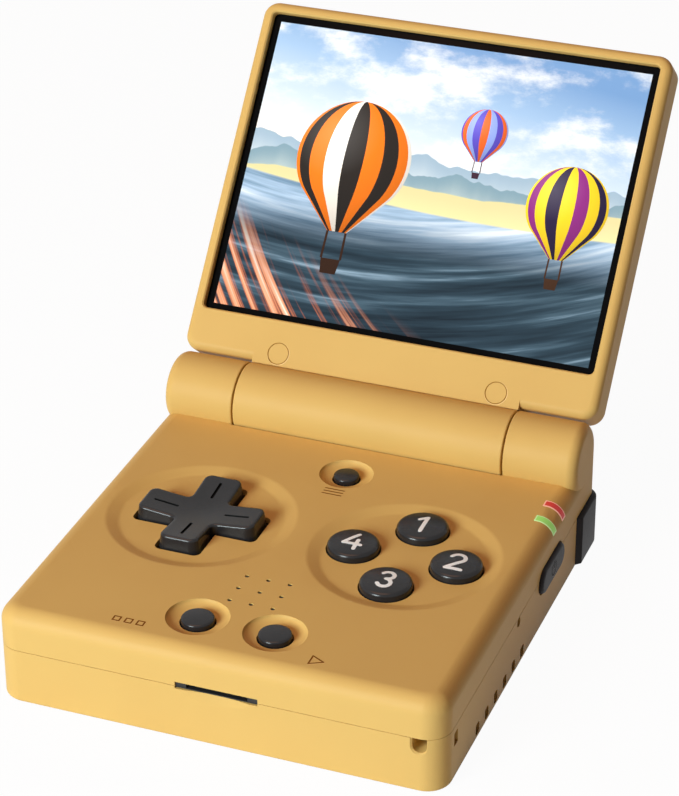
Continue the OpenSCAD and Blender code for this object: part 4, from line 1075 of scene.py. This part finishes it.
def make_balloons():
    """Three balloons at different distances."""
    make_balloon("balloon_near", (-16.5, 49.5), 11.5,
                 ("F07A1E", "2A2522", "F07A1E", "F4EDE2", "2A2522"), basket="3A2418")
    make_balloon("balloon_middle", (27.0, 46.5), 8.0,
                 ("F4CE2A", "8A2F7E", "F4CE2A", "2B2140"), basket="4A3020")
    make_balloon("balloon_far", (8.0, 58.5), 4.6, ("5B4FC0", "E8682C", "8FA5E8"), basket="4A3040")


# Floor, lights and world

FLOOR_HALF = 4000
FLOOR_DROP = 0.02
FLOOR_WHITE = 0.96
FLOOR_GREY = (0.9, 0.9, 0.9, 1)
WHITE = (1, 1, 1, 1)
AMBIENT = 0.04
AMBIENT_COLOUR = (0.85, 0.95, 1.0, 1)
LAMPS_AIM = (0, 10, 25)
KEY_WATTS = 9.0
KEY_COLOUR = (0.87, 0.98, 1.0)
TOP_WATTS = 2.8
TOP_COLOUR = (1.0, 0.45, 0.22)


def seen_share(g):
    """1 for what the camera sees, also by reflection or through clear material, and 0 for lighting."""
    path = g.node("LightPath").outputs
    glossy = g.math("MAXIMUM", path["Is Glossy Ray"], path["Is Transmission Ray"])
    return g.math("MAXIMUM", path["Is Camera Ray"], glossy)


def make_floor():
    """Plain pale floor that keeps the object's shadow."""
    g = new_material("floor")
    diffuse = g.node("BsdfDiffuse", {"Color": FLOOR_GREY})
    bright = g.node("Emission", {"Color": WHITE, "Strength": 1.0})
    share = g.math("MULTIPLY", seen_share(g), FLOOR_WHITE)
    material = g.finish(g.node("MixShader", {0: share, 1: diffuse.outputs[0], 2: bright.outputs[0]}))
    corners = [(a * FLOOR_HALF, b * FLOOR_HALF, 0) for a, b in ((-1, -1), (1, -1), (1, 1), (-1, 1))]
    floor = add_object("floor", corners, [(0, 1, 2, 3)], material)
    floor.location.z = -FLOOR_DROP * MM


def make_world():
    """Pale surroundings where they are seen, and a soft grey light on the object."""
    world = bpy.data.worlds.new("world")
    g = Graph(world, "OutputWorld")
    soft = g.node("Background", {"Color": AMBIENT_COLOUR, "Strength": AMBIENT})
    pale = g.node("Background", {"Strength": 1.0})
    bpy.context.scene.world = g.finish(
        g.node("MixShader", {0: seen_share(g), 1: soft.outputs[0], 2: pale.outputs[0]}))


def make_lamp(name, direction, distance, size, watts, colour):
    """A soft square lamp that looks at the object's middle. Distance and size are in metres."""
    data = bpy.data.lights.new(name, "AREA")
    data.shape = "SQUARE"
    data.size = size
    data.energy = watts
    data.color = colour
    lamp = bpy.data.objects.new(name, data)
    toward = Vector(direction).normalized()
    lamp.location = Vector(LAMPS_AIM) * MM + toward * distance
    lamp.rotation_euler = toward.to_track_quat("Z", "Y").to_euler()
    bpy.context.scene.collection.objects.link(lamp)


def make_lights():
    """A cool key from low on the front left and a weaker, warm lamp above."""
    make_lamp("key_lamp", (-0.35, -0.85, 0.36), distance=0.9, size=0.35, watts=KEY_WATTS, colour=KEY_COLOUR)
    make_lamp("top_lamp", (-0.2, -0.1, 1.0), distance=0.9, size=0.6, watts=TOP_WATTS, colour=TOP_COLOUR)


# Build

WALL_KEYS = ("power_button", "volume_rocker", "reset_button", "left_trigger", "right_trigger")


def make_materials():
    """A material for each slot of the record."""
    return {
        "shell": shell_plastic(),
        "keys": key_plastic(),
        "screen": black_glass(),
        "panel": plain("panel", "35507A", roughness=0.3),
        "board": plain("board", "14402A", roughness=0.4),
        "steel": plain("steel", "9A9A9C", roughness=0.35, metallic=1.0),
        "dark_parts": plain("dark_parts", "1A1A1C", roughness=0.6),
        "silicone": plain("silicone", "A8ABAF", roughness=0.6),
        "feet": plain("feet_rubber", "242426", roughness=0.8),
        "red_lens": lens_plastic("red_light_pipe", "CC3B3A", pale="F0B5A2"),
        "green_lens": lens_plastic("green_light_pipe", "9BE070", pale="C4EDA6"),
        "cell": plain("cell_foil", "8C9099", roughness=0.4, metallic=0.6),
        "ribbon": plain("ribbon_film", "B46A2A", roughness=0.4),
    }


def dress_nodes(materials, wall_keys):
    """Softens every CAD node and gives it the material of its slot, or the duller one of the wall's keys."""
    slots = {s["node"]: s["material_slot"] for s in frame["record"]["subparts"]}
    for name, obj in NODES.items():
        obj.data.materials.clear()
        obj.data.materials.append(wall_keys if name in WALL_KEYS else materials[slots[name]])
        soften(obj)


def main():
    """Dresses the frame and adds the pieces, the camera, the lights and the floor."""
    bpy.context.scene.view_settings.view_transform = "Standard"
    make_camera()
    make_world()
    make_lights()
    make_floor()
    materials = make_materials()
    wall_keys = side_key_plastic()
    dress_nodes(materials, wall_keys)
    make_direction_pad(materials["keys"])
    make_round_keys(materials["keys"])
    make_shoulder("right_shoulder", 1, wall_keys)
    make_shoulder("left_shoulder", -1, wall_keys)
    make_deck_marks()
    make_grille_hole_shade(materials["dark_parts"])
    make_cover_grooves()
    make_power_mark()
    make_picture()
    make_balloons()


main()
